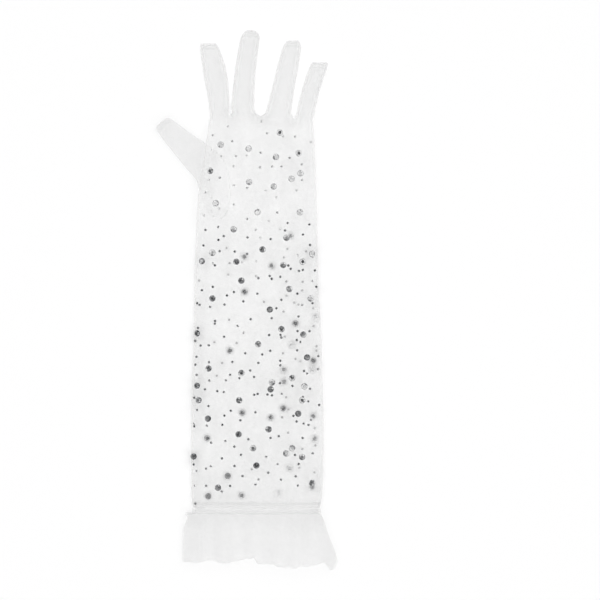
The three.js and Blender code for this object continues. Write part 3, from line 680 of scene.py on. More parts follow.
class Panel:
    """One layer of the glove: a grid up the sleeve and hand that parts into four fingers."""

    CELLS = 22
    ROW_STEP = 2.4
    KNUCKLE_STEPS = 6
    # How far up a finger its first rows lie, and how far its last ones lie from its tip
    FORK_ROWS = (0.5, 1.2)
    CAP_ROWS = (6.6, 5.6, 4.6, 3.5, 2.4, 1.4, 0.6, 0.0)
    # How many rows the seam across a fingertip spans
    SEAM_ROWS = 4

    def __init__(self, level_at):
        """level_at gives the cloth's level and the share of it that is thread at a place."""
        self.level_at = level_at
        self.points = []
        self.flat = []
        self.cover = []
        self.faces = []
        self.body = []
        self.fingers = []
        knuckles = self.knuckle_line()
        self.add_body(knuckles)
        self.add_fingers(knuckles)

    def knuckle_line(self):
        """Points of the knuckle line, with where each lies between its finger's seams."""
        line = []
        for f, (start, end) in enumerate(zip(KNUCKLES, KNUCKLES[1:])):
            width = math.dist(start, end)
            for i, share in enumerate(column_shares(width, self.CELLS)):
                if i or not f:
                    x, y = mix(start[0], end[0], share), mix(start[1], end[1], share)
                    line.append((x, y, between_seams(share, width)))
        return line

    def add_point(self, x, y, v, finger_v, hollow, rise, past=0.0, to_tip=FAR):
        """Adds a point at the cloth's level there and returns its number."""
        level, cover = self.level_at(x, y, v, finger_v, hollow, rise, past, to_tip)
        self.points.append((x, y, level))
        self.cover.append(cover)
        return len(self.points) - 1

    def add_flat(self, ids, middle, along, offset):
        """Gives a row of points its places in the flat cloth, measured along the row from its middle."""
        while len(self.flat) < len(self.points):
            self.flat.append((0.0, 0.0))
        run = [0.0]
        for a, b in zip(ids, ids[1:]):
            run.append(run[-1] + math.dist(self.points[a], self.points[b]))
        for i, distance in zip(ids, run):
            self.flat[i] = (offset + distance - run[middle], along)

    def join(self, low, high):
        """Faces between two rows."""
        for c in range(1, len(low)):
            self.faces.append((low[c - 1], low[c], high[c], high[c - 1]))

    def add_body(self, knuckles):
        """The sleeve and hand, from the hem to the knuckle line."""
        columns = self.CELLS * len(FINGERS)
        first, last = knuckles[0], knuckles[-1]
        top = BODY_ROWS[-1][0]
        steps = round((top - SLEEVE_END) / self.ROW_STEP)
        for r in range(steps + 1):
            y = mix(SLEEVE_END, top, r / steps)
            left, right, hollow = through(BODY_ROWS, y)
            width = right - left
            toward = ease(y, *KNUCKLE_BLEND)
            ids = []
            spread = []
            for c, even in enumerate(column_shares(width, columns)):
                at_knuckle = (knuckles[c][0] - first[0]) / (last[0] - first[0])
                is_seam = c <= 1 or c >= columns - 1
                share = even if is_seam else mix(even, at_knuckle, toward)
                v = between_seams(share, width)
                spread.append(v)
                sag = (knuckles[c][1] - KNUCKLES[0][1]) * ease(y, SAG_FROM, top) * SAG_SHARE
                ids.append(self.add_point(left + share * width, y + sag, v, knuckles[c][2], hollow, 1))
            self.add_flat(ids, columns // 2, y, 0)
            if self.body:
                self.join(self.body[-1], ids)
            self.body.append(ids)
        hollow = BODY_ROWS[-1][3]
        under = [(self.points[i], v) for i, v in zip(self.body[-1], spread)]
        for step in range(1, self.KNUCKLE_STEPS + 1):
            share = step / self.KNUCKLE_STEPS
            ids = []
            for ((low_x, low_y, _), v), (x, y, finger_v) in zip(under, knuckles):
                here = (mix(low_x, x, share), mix(low_y, y, share))
                ids.append(self.add_point(*here, mix(v, 0, share), finger_v, hollow, 1, share))
            self.add_flat(ids, columns // 2, mix(top, KNUCKLES[2][1], share), 0)
            self.join(self.body[-1], ids)
            self.body.append(ids)

    def add_fingers(self, knuckles):
        """The fingers beyond the knuckle line, each in its own rows."""
        hollow = BODY_ROWS[-1][3]
        for f, finger in enumerate(FINGERS):
            tip_x, tip_y, bow, low, middle, tip, end, slant, aside, flare_left, flare_right = finger
            under = self.body[-1][f * self.CELLS:(f + 1) * self.CELLS + 1]
            base = (Vector(KNUCKLES[f]) + Vector(KNUCKLES[f + 1])) / 2
            ahead = Vector((tip_x, tip_y)) - base
            length = ahead.length
            ahead.normalize()
            side = Vector((ahead.y, -ahead.x))
            knuckle = Vector(KNUCKLES[f + 1]) - Vector(KNUCKLES[f])
            fork_width = knuckle.dot(side)
            fork_lean = knuckle.dot(ahead)
            straight = round((length - FINGER_CAP) / self.ROW_STEP)
            stations = [*self.FORK_ROWS]
            stations += [(length - FINGER_CAP) * i / straight for i in range(1, straight + 1)]
            stations += [length - back for back in self.CAP_ROWS]
            rows = [under]
            for s in stations:
                t = s / length
                width = mix(low, middle, t * 2) if t < 0.5 else mix(middle, tip, (t * 2 - 1) ** 2)
                into_cap = min(max((s - length + FINGER_CAP) / FINGER_CAP, 0.0), 1.0)
                width = end + (width - end) * math.sqrt(1 - into_cap**2)
                half_left = mix(width, fork_width, round_corner(s / flare_left)) / 2
                half_right = mix(width, fork_width, round_corner(s / flare_right)) / 2
                width = half_left + half_right
                bend = bow * math.sin(math.pi * t) * -math.copysign(1, ahead.x)
                bend += aside * ease(s, 0, ASIDE_REACH) * (1 - t)
                lean = fork_lean * (1 - ease(s, 0, LEAN_REACH)) + slant * ease(t, SLANT_FROM, 1)
                rise = between(TIP_RISE, length - s)
                ids = []
                for share in column_shares(width, self.CELLS):
                    across = mix(-half_left, half_right, share) + bend
                    place_xy = base + ahead * (s + (share - 0.5) * lean) + side * across
                    v = between_seams(share, width)
                    ids.append(self.add_point(place_xy.x, place_xy.y, 0, v, hollow, rise, 1.0, length - s))
                self.add_flat(ids, self.CELLS // 2, KNUCKLES[2][1] + s, self.flat[under[self.CELLS // 2]][0])
                self.join(rows[-1], ids)
                rows.append(ids)
            self.fingers.append(rows)

    def seam_line(self):
        """Pairs of points round the whole outline: the cloth's edge and the seam inside it."""
        pairs = [(row[0], row[1]) for row in self.body[:-1]]
        for *rows, tip in self.fingers:
            side, end = rows[:-self.SEAM_ROWS], rows[-self.SEAM_ROWS:]
            inner = end[0]
            pairs += [(row[0], row[1]) for row in side]
            pairs += [(row[0], inner[1]) for row in end]
            pairs += [(outer, inner[min(max(c, 1), self.CELLS - 1)]) for c, outer in enumerate(tip)]
            pairs += [(row[-1], inner[-2]) for row in reversed(end)]
            pairs += [(row[-1], row[-2]) for row in reversed(side)]
        return pairs + [(row[-1], row[-2]) for row in reversed(self.body[:-1])]


def glued_share(x, y):
    """1 where a stone of the palm side is glued on, which makes the net see-through, and 0 away from it."""
    nearest = min((x - stone_x) ** 2 + (y - stone_y) ** 2 for stone_x, stone_y, _ in UNDERSIDE_STONES)
    return 1 - ease(math.sqrt(nearest), *GLUE_CLEARS)


def forks_share(y, past):
    """How far the cloth has parted into fingers at a place: 0 on the arm, 1 from the knuckle line on."""
    return mix(ease(min(y, BODY_ROWS[-1][0]), *FORK_BLEND) ** 2, 1.0, ease(past, 0, 1))


def yarn_share(x, y, v, past, to_tip):
    """How much of the cloth is yarn: denser in the fingers, along their seams, at the forks and the tips."""
    share = YARN + sum(added(row, y) for row in YARN_ALONG)
    share += added(YARN_AT_SEAM, abs(v)) * (1 - past)
    for fork_x, fork_y in KNUCKLES[1:-1]:
        share += added(YARN_AT_FORK, math.hypot((x - fork_x) * FORK_SPREAD, y - fork_y))
    share += added(YARN_AT_TIP, abs(to_tip - TIP_SEAM / 2))
    return share + creases(x, y, YARN_DRIFT)


def back_level(x, y, v, finger_v, hollow, rise, past, to_tip):
    """The back of the glove: over the hollow between its seams, lifted by the thumb, lightly creased."""
    toward_forks = forks_share(y, past)
    profile = mix(arch(v), arch(finger_v) * rise, toward_forks)
    height = mix(hollow + soft_folds(x, y), FINGER_HOLLOW, toward_forks)
    lift = THUMB_LIFT * above_thumb(x, y) * (1 - SLACK_OVER_THUMB * profile)
    level = resting_level(y) + lift + WALL + GAP + height * profile
    level += mix(*BACK_OFF, ease(profile, 0, 0.7))
    slant_x, slant_y = HAND_SLANT
    unevenness = creases(x, y, ARM_CREASES)
    unevenness += creases(x + y * slant_x, y - x * slant_y, HAND_CREASES) * ease(y, *HAND_FROM)
    unevenness += creases(x, y, FINGER_CREASES) * ease(y, *FINGERS_FROM)
    share = yarn_share(x, y, v, past, to_tip) - GLUE_ON_BACK * glued_share(x, y)
    return level + unevenness * ease(profile, 0, 0.9), share


def palm_level(x, y, v, finger_v, hollow, rise, past, to_tip):
    """The palm side: flat on the surface or its stones, and up to meet the back at the seams."""
    on_arm, on_finger = PALM_DOWN
    inward = mix(
        ease(1 - abs(v), 0, on_arm), ease(1 - abs(finger_v), 0, on_finger) * rise, forks_share(y, past)
    )
    level = resting_level(y) + THUMB_LIFT * above_thumb(x, y) + mix(*PALM_OFF, inward)
    unevenness = PALM_CREASE_HEIGHT * abs(crease(x, y, *PALM_CREASE)) * inward
    share = yarn_share(x, y, v, past, to_tip) - GLUE_ON_PALM * glued_share(x, y)
    return level + unevenness, share


def srgb(text):
    """A hex colour as linear values."""
    parts = [int(text[i:i + 2], 16) / 255 for i in (1, 3, 5)]
    linear = [p / 12.92 if p <= 0.04045 else ((p + 0.055) / 1.055) ** 2.4 for p in parts]
    return (*linear, 1.0)


def add_node(tree, kind, inputs=None, **settings):
    """Adds one node with its settings, and its inputs given as values or as sockets to link."""
    node = tree.nodes.new(kind)
    for name, value in settings.items():
        setattr(node, name, value)
    for key, value in (inputs or {}).items():
        if isinstance(value, bpy.types.NodeSocket):
            tree.links.new(value, node.inputs[key])
        else:
            node.inputs[key].default_value = value
    return node


def new_material(name):
    """An empty node material, and its tree."""
    material = bpy.data.materials.new(name)
    material.use_nodes = True
    material.node_tree.nodes.clear()
    return material, material.node_tree


def net_threads(tree, flat, pitch, thread):
    """1 along the threads of a net of hexagons pitch metres wide, and 0 in its holes.

    The middles of the hexagons lie on two grids of oblongs, one half a cell further than the other, and a
    place belongs to the nearer middle.
    """
    half = (0.5, math.sqrt(3) / 2, 0.5)
    low = tuple(-side for side in half)
    scaled = add_node(tree, "ShaderNodeVectorMath", {0: flat, 3: 1 / pitch}, operation="SCALE")
    ways, lengths = [], []
    for start in (half, (0, 0, 0)):
        moved = add_node(tree, "ShaderNodeVectorMath", {0: scaled.outputs[0], 1: start}, operation="ADD")
        oblong = {0: moved.outputs[0], 1: half, 2: low}
        cell = add_node(tree, "ShaderNodeVectorMath", oblong, operation="WRAP")
        way = add_node(tree, "ShaderNodeVectorMath", {0: cell.outputs[0], 1: (1, 1, 0)}, operation="MULTIPLY")
        length = add_node(tree, "ShaderNodeVectorMath", {0: way.outputs[0]}, operation="LENGTH")
        ways.append(way.outputs[0])
        lengths.append(length.outputs["Value"])
    is_second = add_node(tree, "ShaderNodeMath", {0: lengths[1], 1: lengths[0]}, operation="LESS_THAN")
    inside = add_node(
        tree, "ShaderNodeMix", {"Factor": is_second.outputs[0], 4: ways[0], 5: ways[1]}, data_type="VECTOR"
    )
    folded = add_node(tree, "ShaderNodeVectorMath", {0: inside.outputs[1]}, operation="ABSOLUTE")
    slanted = {0: folded.outputs[0], 1: (half[0], half[1], 0)}
    lean = add_node(tree, "ShaderNodeVectorMath", slanted, operation="DOT_PRODUCT")
    split = add_node(tree, "ShaderNodeSeparateXYZ", {0: folded.outputs[0]})
    two_sides = {0: split.outputs[0], 1: lean.outputs["Value"]}
    edge = add_node(tree, "ShaderNodeMath", two_sides, operation="MAXIMUM")
    thread_edge = {"Value": edge.outputs[0], "From Min": 0.5 - thread, "From Max": 0.5 - thread * 0.6}
    return add_node(tree, "ShaderNodeMapRange", thread_edge).outputs[0]


def tulle_material(name, shaded, light, thread_cover):
    """Sheer nylon tulle: fine white yarn knitted into hexagonal holes.

    The eye gets a pale veil with the surface behind it, denser where the cloth is doubled or gathered, and a
    soft sheen on the folds. The white yarn's grey is painted shade, in place of the shadow that most sheets
    don't cast. The mesh's "cover" attribute says how much of each place is yarn.
    """
    material, tree = new_material(name)
    settings = bpy.context.scene.glove_cloth
    flat = add_node(tree, "ShaderNodeUVMap", uv_map="flat_cloth")
    cover = add_node(tree, "ShaderNodeAttribute", attribute_name="cover", attribute_type="GEOMETRY")
    threads = net_threads(tree, flat.outputs[0], settings.net_pitch, settings.thread_share)
    uneven = {"Vector": flat.outputs[0], "Scale": SLUBS, "Detail": 2.0, "Roughness": 0.6}
    slub = add_node(tree, "ShaderNodeTexNoise", uneven)
    drift = add_node(tree, "ShaderNodeMapRange", {"Value": slub.outputs[0], "To Min": -0.03, "To Max": 0.03})
    film = add_node(tree, "ShaderNodeMath", {0: cover.outputs["Fac"], 1: drift.outputs[0]}, operation="ADD")
    drawn = add_node(tree, "ShaderNodeMath", {0: threads, 1: thread_cover}, operation="MULTIPLY")
    alpha = add_node(
        tree, "ShaderNodeMath", {0: film.outputs[0], 1: drawn.outputs[0]}, operation="ADD", use_clamp=True
    )
    tint = add_node(
        tree, "ShaderNodeMix", {"Factor": slub.outputs[0], 6: srgb(shaded), 7: srgb(light)}, data_type="RGBA"
    )
    gloss = add_node(tree, "ShaderNodeMapRange", {"Value": slub.outputs[0], "To Min": 0.54, "To Max": 0.66})
    relief = add_node(tree, "ShaderNodeBump", {"Height": threads, "Strength": 0.25, "Distance": 0.00015})
    cloth = {
        "Base Color": tint.outputs[2],
        "Roughness": gloss.outputs[0],
        "Alpha": alpha.outputs[0],
        "Normal": relief.outputs[0],
        "Specular IOR Level": 0.3,
        "Sheen Weight": 0.25,
        "Sheen Roughness": 0.4,
    }
    shader = add_node(tree, "ShaderNodeBsdfPrincipled", cloth)
    add_node(tree, "ShaderNodeOutputMaterial", {"Surface": shader.outputs[0]})
    return material


def seam_material(name):
    """An overlocked seam in nylon tulle: two edges turned in and bound by fine polyester thread.

    The eye gets a narrow denser line round the glove, ribbed across by the binding thread. The denser line is
    the seam's extra yarn, and its grey, darker than the tulle's, is painted shade along the glove's edges.
    """
    material, tree = new_material(name)
    flat = add_node(tree, "ShaderNodeUVMap", uv_map="flat_cloth")
    turned = add_node(tree, "ShaderNodeMapping", {"Vector": flat.outputs[0], "Rotation": (0, 0, 0.5)})
    binding = {
        "Vector": turned.outputs[0], "Scale": WAVE_BAND / BINDING_PITCH, "Distortion": 0.6, "Detail": 1.0,
    }
    ribs = add_node(tree, "ShaderNodeTexWave", binding, wave_type="BANDS", bands_direction="Y")
    rib = ribs.outputs["Fac"]
    cover = add_node(tree, "ShaderNodeAttribute", attribute_name="cover", attribute_type="GEOMETRY")
    bound = add_node(tree, "ShaderNodeMapRange", {"Value": rib, "To Min": -0.015, "To Max": 0.025})
    seamed = {0: cover.outputs["Fac"], 1: bound.outputs[0]}
    alpha = add_node(tree, "ShaderNodeMath", seamed, operation="ADD", use_clamp=True)
    tint = add_node(
        tree, "ShaderNodeMix", {"Factor": rib, 6: srgb("#bebebe"), 7: srgb("#cacaca")}, data_type="RGBA"
    )
    relief = add_node(tree, "ShaderNodeBump", {"Height": rib, "Strength": 0.5, "Distance": 0.0003})
    seam = {
        "Base Color": tint.outputs[2],
        "Roughness": 0.7,
        "Alpha": alpha.outputs[0],
        "Normal": relief.outputs[0],
        "Specular IOR Level": 0.3,
        "Sheen Weight": 0.2,
    }
    shader = add_node(tree, "ShaderNodeBsdfPrincipled", seam)
    add_node(tree, "ShaderNodeOutputMaterial", {"Surface": shader.outputs[0]})
    return material


def thread_material(name):
    """Twisted polyester sewing thread: its slanting ridges have a painted highlight, and its grey is painted
    shade.
    """
    material, tree = new_material(name)
    where = add_node(tree, "ShaderNodeTexCoord")
    ridges = {"Vector": where.outputs["Object"], "Scale": RIDGES, "Distortion": 1.0}
    twist = add_node(tree, "ShaderNodeTexWave", ridges, bands_direction="DIAGONAL").outputs["Fac"]
    tint = add_node(
        tree, "ShaderNodeMix", {"Factor": twist, 6: srgb("#d2d2d1"), 7: srgb("#dfdfde")}, data_type="RGBA"
    )
    relief = add_node(tree, "ShaderNodeBump", {"Height": twist, "Strength": 0.4, "Distance": 0.0001})
    thread = {
        "Base Color": tint.outputs[2],
        "Roughness": 0.55,
        "Normal": relief.outputs[0],
        "Sheen Weight": 0.2,
    }
    shader = add_node(tree, "ShaderNodeBsdfPrincipled", thread)
    add_node(tree, "ShaderNodeOutputMaterial", {"Surface": shader.outputs[0]})
    return material


def crystal_material(name):
    """Machine-cut lead-free crystal with a silver foil back, glued flat to the cloth.

    Each facet's colour is a painted reflection of the foil: dark grey for a facet painted as showing no
    light, almost white for a lit one, with painted specks of light, under a hard clear gloss. The mesh's
    "glint" attribute says how bright each facet is painted.
    """
    material, tree = new_material(name)
    settings = bpy.context.scene.glove_stones
    dark, light = tuple(settings.dark_facet), tuple(settings.bright_facet)
    glint = add_node(tree, "ShaderNodeAttribute", attribute_name="glint", attribute_type="GEOMETRY")
    where = add_node(tree, "ShaderNodeTexCoord")
    specks = {"Vector": where.outputs["Object"], "Scale": SPECKS}
    # Painted specks of light across each stone, which also vary its gloss
    speck = add_node(tree, "ShaderNodeTexVoronoi", specks, feature="F1").outputs["Color"]
    spark = add_node(tree, "ShaderNodeMapRange", {"Value": speck, "To Min": -0.22, "To Max": 0.3})
    lit = {0: glint.outputs["Fac"], 1: spark.outputs[0]}
    bright = add_node(tree, "ShaderNodeMath", lit, operation="ADD", use_clamp=True).outputs[0]
    tint = add_node(tree, "ShaderNodeMix", {"Factor": bright, 6: dark, 7: light}, data_type="RGBA")
    gloss = add_node(tree, "ShaderNodeMapRange", {"Value": speck, "To Min": 0.08, "To Max": 0.2})
    foil = add_node(tree, "ShaderNodeMapRange", {"Value": bright, "To Min": 0.85, "To Max": 0.1})
    crystal = {
        "Base Color": tint.outputs[2],
        "Metallic": foil.outputs[0],
        "Roughness": gloss.outputs[0],
        "Coat Weight": 0.6,
        "Coat Roughness": 0.03,
    }
    shader = add_node(tree, "ShaderNodeBsdfPrincipled", crystal)
    add_node(tree, "ShaderNodeOutputMaterial", {"Surface": shader.outputs[0]})
    return material


def paper_material(name):
    """A sheet of matt white paper under the glove: even, with the faintest fibre."""
    material, tree = new_material(name)
    where = add_node(tree, "ShaderNodeTexCoord")
    fibre = add_node(tree, "ShaderNodeTexNoise", {"Vector": where.outputs["Object"], "Scale": FIBRES})
    gloss = add_node(tree, "ShaderNodeMapRange", {"Value": fibre.outputs[0], "To Min": 0.85, "To Max": 0.95})
    paper = {"Base Color": srgb("#fbfbfb"), "Roughness": gloss.outputs[0], "Specular IOR Level": 0.1}
    shader = add_node(tree, "ShaderNodeBsdfPrincipled", paper)
    add_node(tree, "ShaderNodeOutputMaterial", {"Surface": shader.outputs[0]})
    return material


def glove_material(name):
    """One of the glove's materials, made when it is first asked for."""
    known = bpy.data.materials.get(name)
    if known:
        return known
    if name in TULLES:
        return tulle_material(name, *TULLES[name])
    makers = {
        "overlocked_seam": seam_material,
        "sewing_thread": thread_material,
        "foil_backed_crystal": crystal_material,
    }
    return makers[name](name)


def deselect_all():
    """Leaves nothing selected and no object active in edit mode."""
    if bpy.context.object and bpy.context.object.mode != "OBJECT":
        bpy.ops.object.mode_set(mode="OBJECT")
    bpy.ops.object.select_all(action="DESELECT")


def new_object(name, mesh, material):
    """Shows a mesh as a new object with one material."""
    mesh.materials.clear()
    mesh.materials.append(material)
    made = bpy.data.objects.new(name, mesh)
    bpy.context.collection.objects.link(made)
    return made


def cloth_object(name, points, flat, cover, faces, material, shades=False):
    """A sheet of cloth from points in millimetres, with its flat places and its share of yarn.

    So sheer a net throws hardly a shadow: only the sheets that lie on the surface shade it, and the rest get
    painted shade in the tulle's grey.
    """
    mesh = bpy.data.meshes.new(name)
    mesh.from_pydata([place(*p) for p in points], [], faces)
    layer = mesh.uv_layers.new(name="flat_cloth")
    for loop in mesh.loops:
        u, v = flat[loop.vertex_index]
        layer.data[loop.index].uv = (u / 1000, v / 1000)
    mesh.polygons.foreach_set("use_smooth", [True] * len(mesh.polygons))
    mesh.update()
    # Painted light: upright cloth keeps less of its yarn, against the shade that falls on it
    upright = [mix(STEEP_SHARE, 1, ease(abs(v.normal.z), *STEEP_SLOPES)) for v in mesh.vertices]
    share = mesh.attributes.new("cover", "FLOAT", "POINT")
    share.data.foreach_set("value", [c * u for c, u in zip(cover, upright)])
    piece = new_object(name, mesh, material)
    piece.visible_shadow = shades
    return piece


def joined_copies(name, pattern, matrices, material, glints=()):
    """Copies of one small mesh at many places, as one mesh, and the painted glint of each facet where it has
    any.
    """
    corners = [v.co.copy() for v in pattern.vertices]
    sides = [tuple(p.vertices) for p in pattern.polygons]
    points, faces = [], []
    for matrix in matrices:
        start = len(points)
        points.extend(matrix @ c for c in corners)
        faces.extend(tuple(start + i for i in side) for side in sides)
    mesh = bpy.data.meshes.new(name)
    mesh.from_pydata(points, [], faces)
    if glints:
        values = mesh.attributes.new("glint", "FLOAT", "FACE")
        values.data.foreach_set("value", [g for group in glints for g in group])
    mesh.update()
    return new_object(name, mesh, material)


def painted_facet_glints(pattern, shine, dice):
    """How bright each facet of one stone is painted.

    A shine share of the crown is painted lit, the rest painted dark as a crescent on one side, and a large
    stone keeps a grey outline. A shine less than 0 paints the crown lit round a dark table.
    """
    table_shine, shine = shine, abs(shine)
    rim = max(v.co.xy.length for v in pattern.vertices)
    is_large = len(pattern.polygons) > 2 * STONE["sides"]
    dark_side = dice.uniform(-math.pi, math.pi)
    depth = mix(0.4, 1, ease(shine, 0, 0.3))
    table_grey, crown_grey = LARGE_GREYS if is_large else SMALL_GREYS
    if table_shine < 0:
        table_grey = 0.0
    values = []
    for face in pattern.polygons:
        up = face.normal.z
        out = face.center.xy.length / rim
        away = math.atan2(face.center.y, face.center.x) - dark_side
        turned = abs(math.remainder(away, 2 * math.pi)) / math.pi
        lit = mix(turned, dice.random(), 0.3) > 1 - shine or dice.random() < 0.3 * shine
        if up > LEVEL_FACE:
            values.append(dice.uniform(*TABLE_GLINT) + table_grey + added(TABLE_GAIN, table_shine))
        elif up > CROWN_FACE and is_large and out > OUTLINE_FROM:
            values.append(dice.uniform(*OUTLINE_LIT) if lit else dice.uniform(*OUTLINE_DARK) * depth)
        elif up > CROWN_FACE:
            values.append(dice.uniform(*CROWN_LIT) if lit else dice.uniform(*CROWN_DARK) * depth + crown_grey)
        elif up < -LEVEL_FACE and out < BACK_MIDDLE:
            values.append(dice.uniform(*BACK_GLINT) + BACK_GAIN * shine * shine)
        else:
            values.append(dice.uniform(*SIDE_GLINT) + added(SIDE_GAIN, shine) + SIDE_SHINE * shine)
    return values


def select_level_faces(piece, way):
    """In edit mode, selects only the level faces of a piece that look up, way 1, or down, way -1."""
    bpy.ops.mesh.select_mode(type="FACE")
    bpy.ops.mesh.select_all(action="DESELECT")
    bpy.ops.object.mode_set(mode="OBJECT")
    for face in piece.data.polygons:
        face.select = face.normal.z * way > LEVEL_FACE
    bpy.ops.object.mode_set(mode="EDIT")


def select_table_edges(piece, sides, height):
    """In edit mode, selects every second edge round a stone's table."""
    bpy.ops.mesh.select_all(action="DESELECT")
    bpy.ops.mesh.select_mode(type="EDGE")
    bpy.ops.object.mode_set(mode="OBJECT")
    for edge in piece.data.edges:
        a, b = (piece.data.vertices[i].co for i in edge.vertices)
        if min(a.z, b.z) > height - 1e-6:
            angle = math.atan2(a.y + b.y, a.x + b.x) / (2 * math.pi) * sides
            edge.select = round(angle - 0.5) % 2 == 0
    bpy.ops.object.mode_set(mode="EDIT")


def in_order(mesh):
    """A copy of a mesh with its corners and faces in a fixed order, since extruding leaves them in any."""
    points = [v.co.copy() for v in mesh.vertices]
    order = sorted(range(len(points)), key=lambda i: points[i].dot(CORNER_ORDER))
    rank = {i: k for k, i in enumerate(order)}
    faces = []
    for face in mesh.polygons:
        corners = [rank[i] for i in face.vertices]
        first = corners.index(min(corners))
        faces.append(corners[first:] + corners[:first])
    ordered = bpy.data.meshes.new(mesh.name)
    ordered.from_pydata([points[i] for i in order], [], sorted(faces))
    ordered.update()
    return ordered


def cut_stone(name, size, rimmed=False):
    """One rhinestone, modelled as it is cut: a flat back, a low girdle, a crown of facets and a table.

    A star cut has a shoulder and every second corner off its table, and rimmed parts the flat back into a rim
    and a middle.
    """
    deselect_all()
    radius = size["diameter"] / 2000
    girdle = size["girdle"] / 1000
    height = size["height"] / 1000
    sides = size["sides"]
    bpy.ops.mesh.primitive_cylinder_add(
        vertices=sides, radius=radius, depth=girdle, end_fill_type="NGON", location=(0, 0, girdle / 2)
    )
    stone = bpy.context.object
    stone.name = name
    bpy.ops.object.transform_apply(location=True, rotation=True, scale=True)
    bpy.ops.object.mode_set(mode="EDIT")
    select_level_faces(stone, 1)
    rise = height - girdle
    shoulder = 1.0
    if size["star"]:
        shoulder = SHOULDER_WIDTH
        bpy.ops.mesh.extrude_region_move(TRANSFORM_OT_translate={"value": (0, 0, rise * SHOULDER_RISE)})
        bpy.ops.transform.resize(value=(shoulder, shoulder, 1))
        rise *= 1 - SHOULDER_RISE
    bpy.ops.mesh.extrude_region_move(TRANSFORM_OT_translate={"value": (0, 0, rise)})
    bpy.ops.transform.resize(value=(size["table"] / shoulder, size["table"] / shoulder, 1))
    if size["star"]:
        select_table_edges(stone, sides, height)
        bpy.ops.mesh.merge(type="COLLAPSE")
    if rimmed:
        select_level_faces(stone, -1)
        bpy.ops.mesh.inset(thickness=radius * BACK_RIM)
    bpy.ops.object.mode_set(mode="OBJECT")
    pattern = in_order(stone.data)
    bpy.data.objects.remove(stone)
    return pattern


def tree_of(*names):
    """The shape of finished pieces, for setting stones on them."""
    points, faces = [], []
    for name in names:
        piece = bpy.data.objects.get(name)
        if piece is None:
            raise RuntimeError(f"{name} isn't made yet")
        start = len(points)
        points.extend(v.co for v in piece.data.vertices)
        faces.extend(tuple(start + i for i in p.vertices) for p in piece.data.polygons)
    return BVHTree.FromPolygons(points, faces)


def seat(tree, x, y, from_above, radius, turn, tilt):
    """Where the flat back of a stone lies on the cloth, as a matrix in metres.

    The cloth gives way under a stone, so it lies flatter than the cloth round it, and clear of it.
    """
    way = Vector((0, 0, -1 if from_above else 1))
    back_off = way * SEARCH_FROM / 1000
    point, normal, _, _ = tree.ray_cast(place(x, y, 0) - back_off, way)
    if point is None:
        raise RuntimeError(f"there is no cloth under the stone at {x}, {y}")
    if normal.z * way.z > 0:
        normal = -normal
    normal = (normal.normalized() - way * LEVELLING + Vector(tilt)).normalized()
    turned = normal.to_track_quat("Z", "Y").to_matrix().to_4x4() @ Matrix.Rotation(turn, 4, "Z")
    lift = 0.0
    for k in range(RIM_TESTS):
        angle = 2 * math.pi * k / RIM_TESTS
        rim = point + turned @ Vector((radius * math.cos(angle), radius * math.sin(angle), 0))
        cloth = tree.ray_cast(rim - back_off, way)[0]
        if cloth is not None:
            lift = max(lift, (rim - cloth).dot(way))
    glued = point + normal * GLUE_LAYER / 1000 - way * lift * OVERLAP_SHARE
    return Matrix.Translation(glued) @ turned


def random_lean(dice):
    """A small lean of a stone, across and along the glove."""
    return (dice.uniform(-LEAN, LEAN), dice.uniform(-LEAN, LEAN), 0)


class GloveClothSettings(bpy.types.PropertyGroup):
    """Sizes of the tulle."""

    net_pitch: bpy.props.FloatProperty(
        name="Net pitch", description="Distance between the holes of the tulle",
        default=0.0011, min=0.0004, unit="LENGTH",
    )
    thread_share: bpy.props.FloatProperty(
        name="Thread share", description="Half the width of a yarn, as a share of the pitch",
        default=0.09, min=0.02, max=0.3, subtype="FACTOR",
    )


class GloveStoneSettings(bpy.types.PropertyGroup):
    """Painted shine of the stones, and the colours painted on their dark and lit facets."""

    shine: bpy.props.FloatProperty(
        name="Shine", description="Share of a small stone's facets that throw light back",
        default=0.08, min=0, max=1, subtype="FACTOR",
    )
    lit_shine: bpy.props.FloatProperty(
        name="Lit shine", description="The same share for the small stones that are half lit",
        default=0.38, min=0, max=1, subtype="FACTOR",
    )
    dark_facet: bpy.props.FloatVectorProperty(
        name="Dark facet", description="Colour of a facet that shows no light",
        default=srgb("#4c4f53"), size=4, min=0, max=1, subtype="COLOR",
    )
    bright_facet: bpy.props.FloatVectorProperty(
        name="Bright facet", description="Colour of a facet that throws light back",
        default=srgb("#fdfdfd"), size=4, min=0, max=1, subtype="COLOR",
    )


class GloveStageSettings(bpy.types.PropertyGroup):
    """Size of the picture and strength of the light."""

    picture_width: bpy.props.FloatProperty(
        name="Picture width", description="How much of the surface the picture spans",
        default=0.54, unit="LENGTH",
    )
    camera_height: bpy.props.FloatProperty(
        name="Camera height", description="Height of the camera over the glove",
        default=3.0, unit="LENGTH",
    )
    lamp_power: bpy.props.FloatProperty(
        name="Lamp power", description="Power of each of the four soft lamps",
        default=8.9, unit="POWER",
    )
    room_light: bpy.props.FloatProperty(
        name="Room light", description="Strength of the even light of the room", default=0.22,
    )


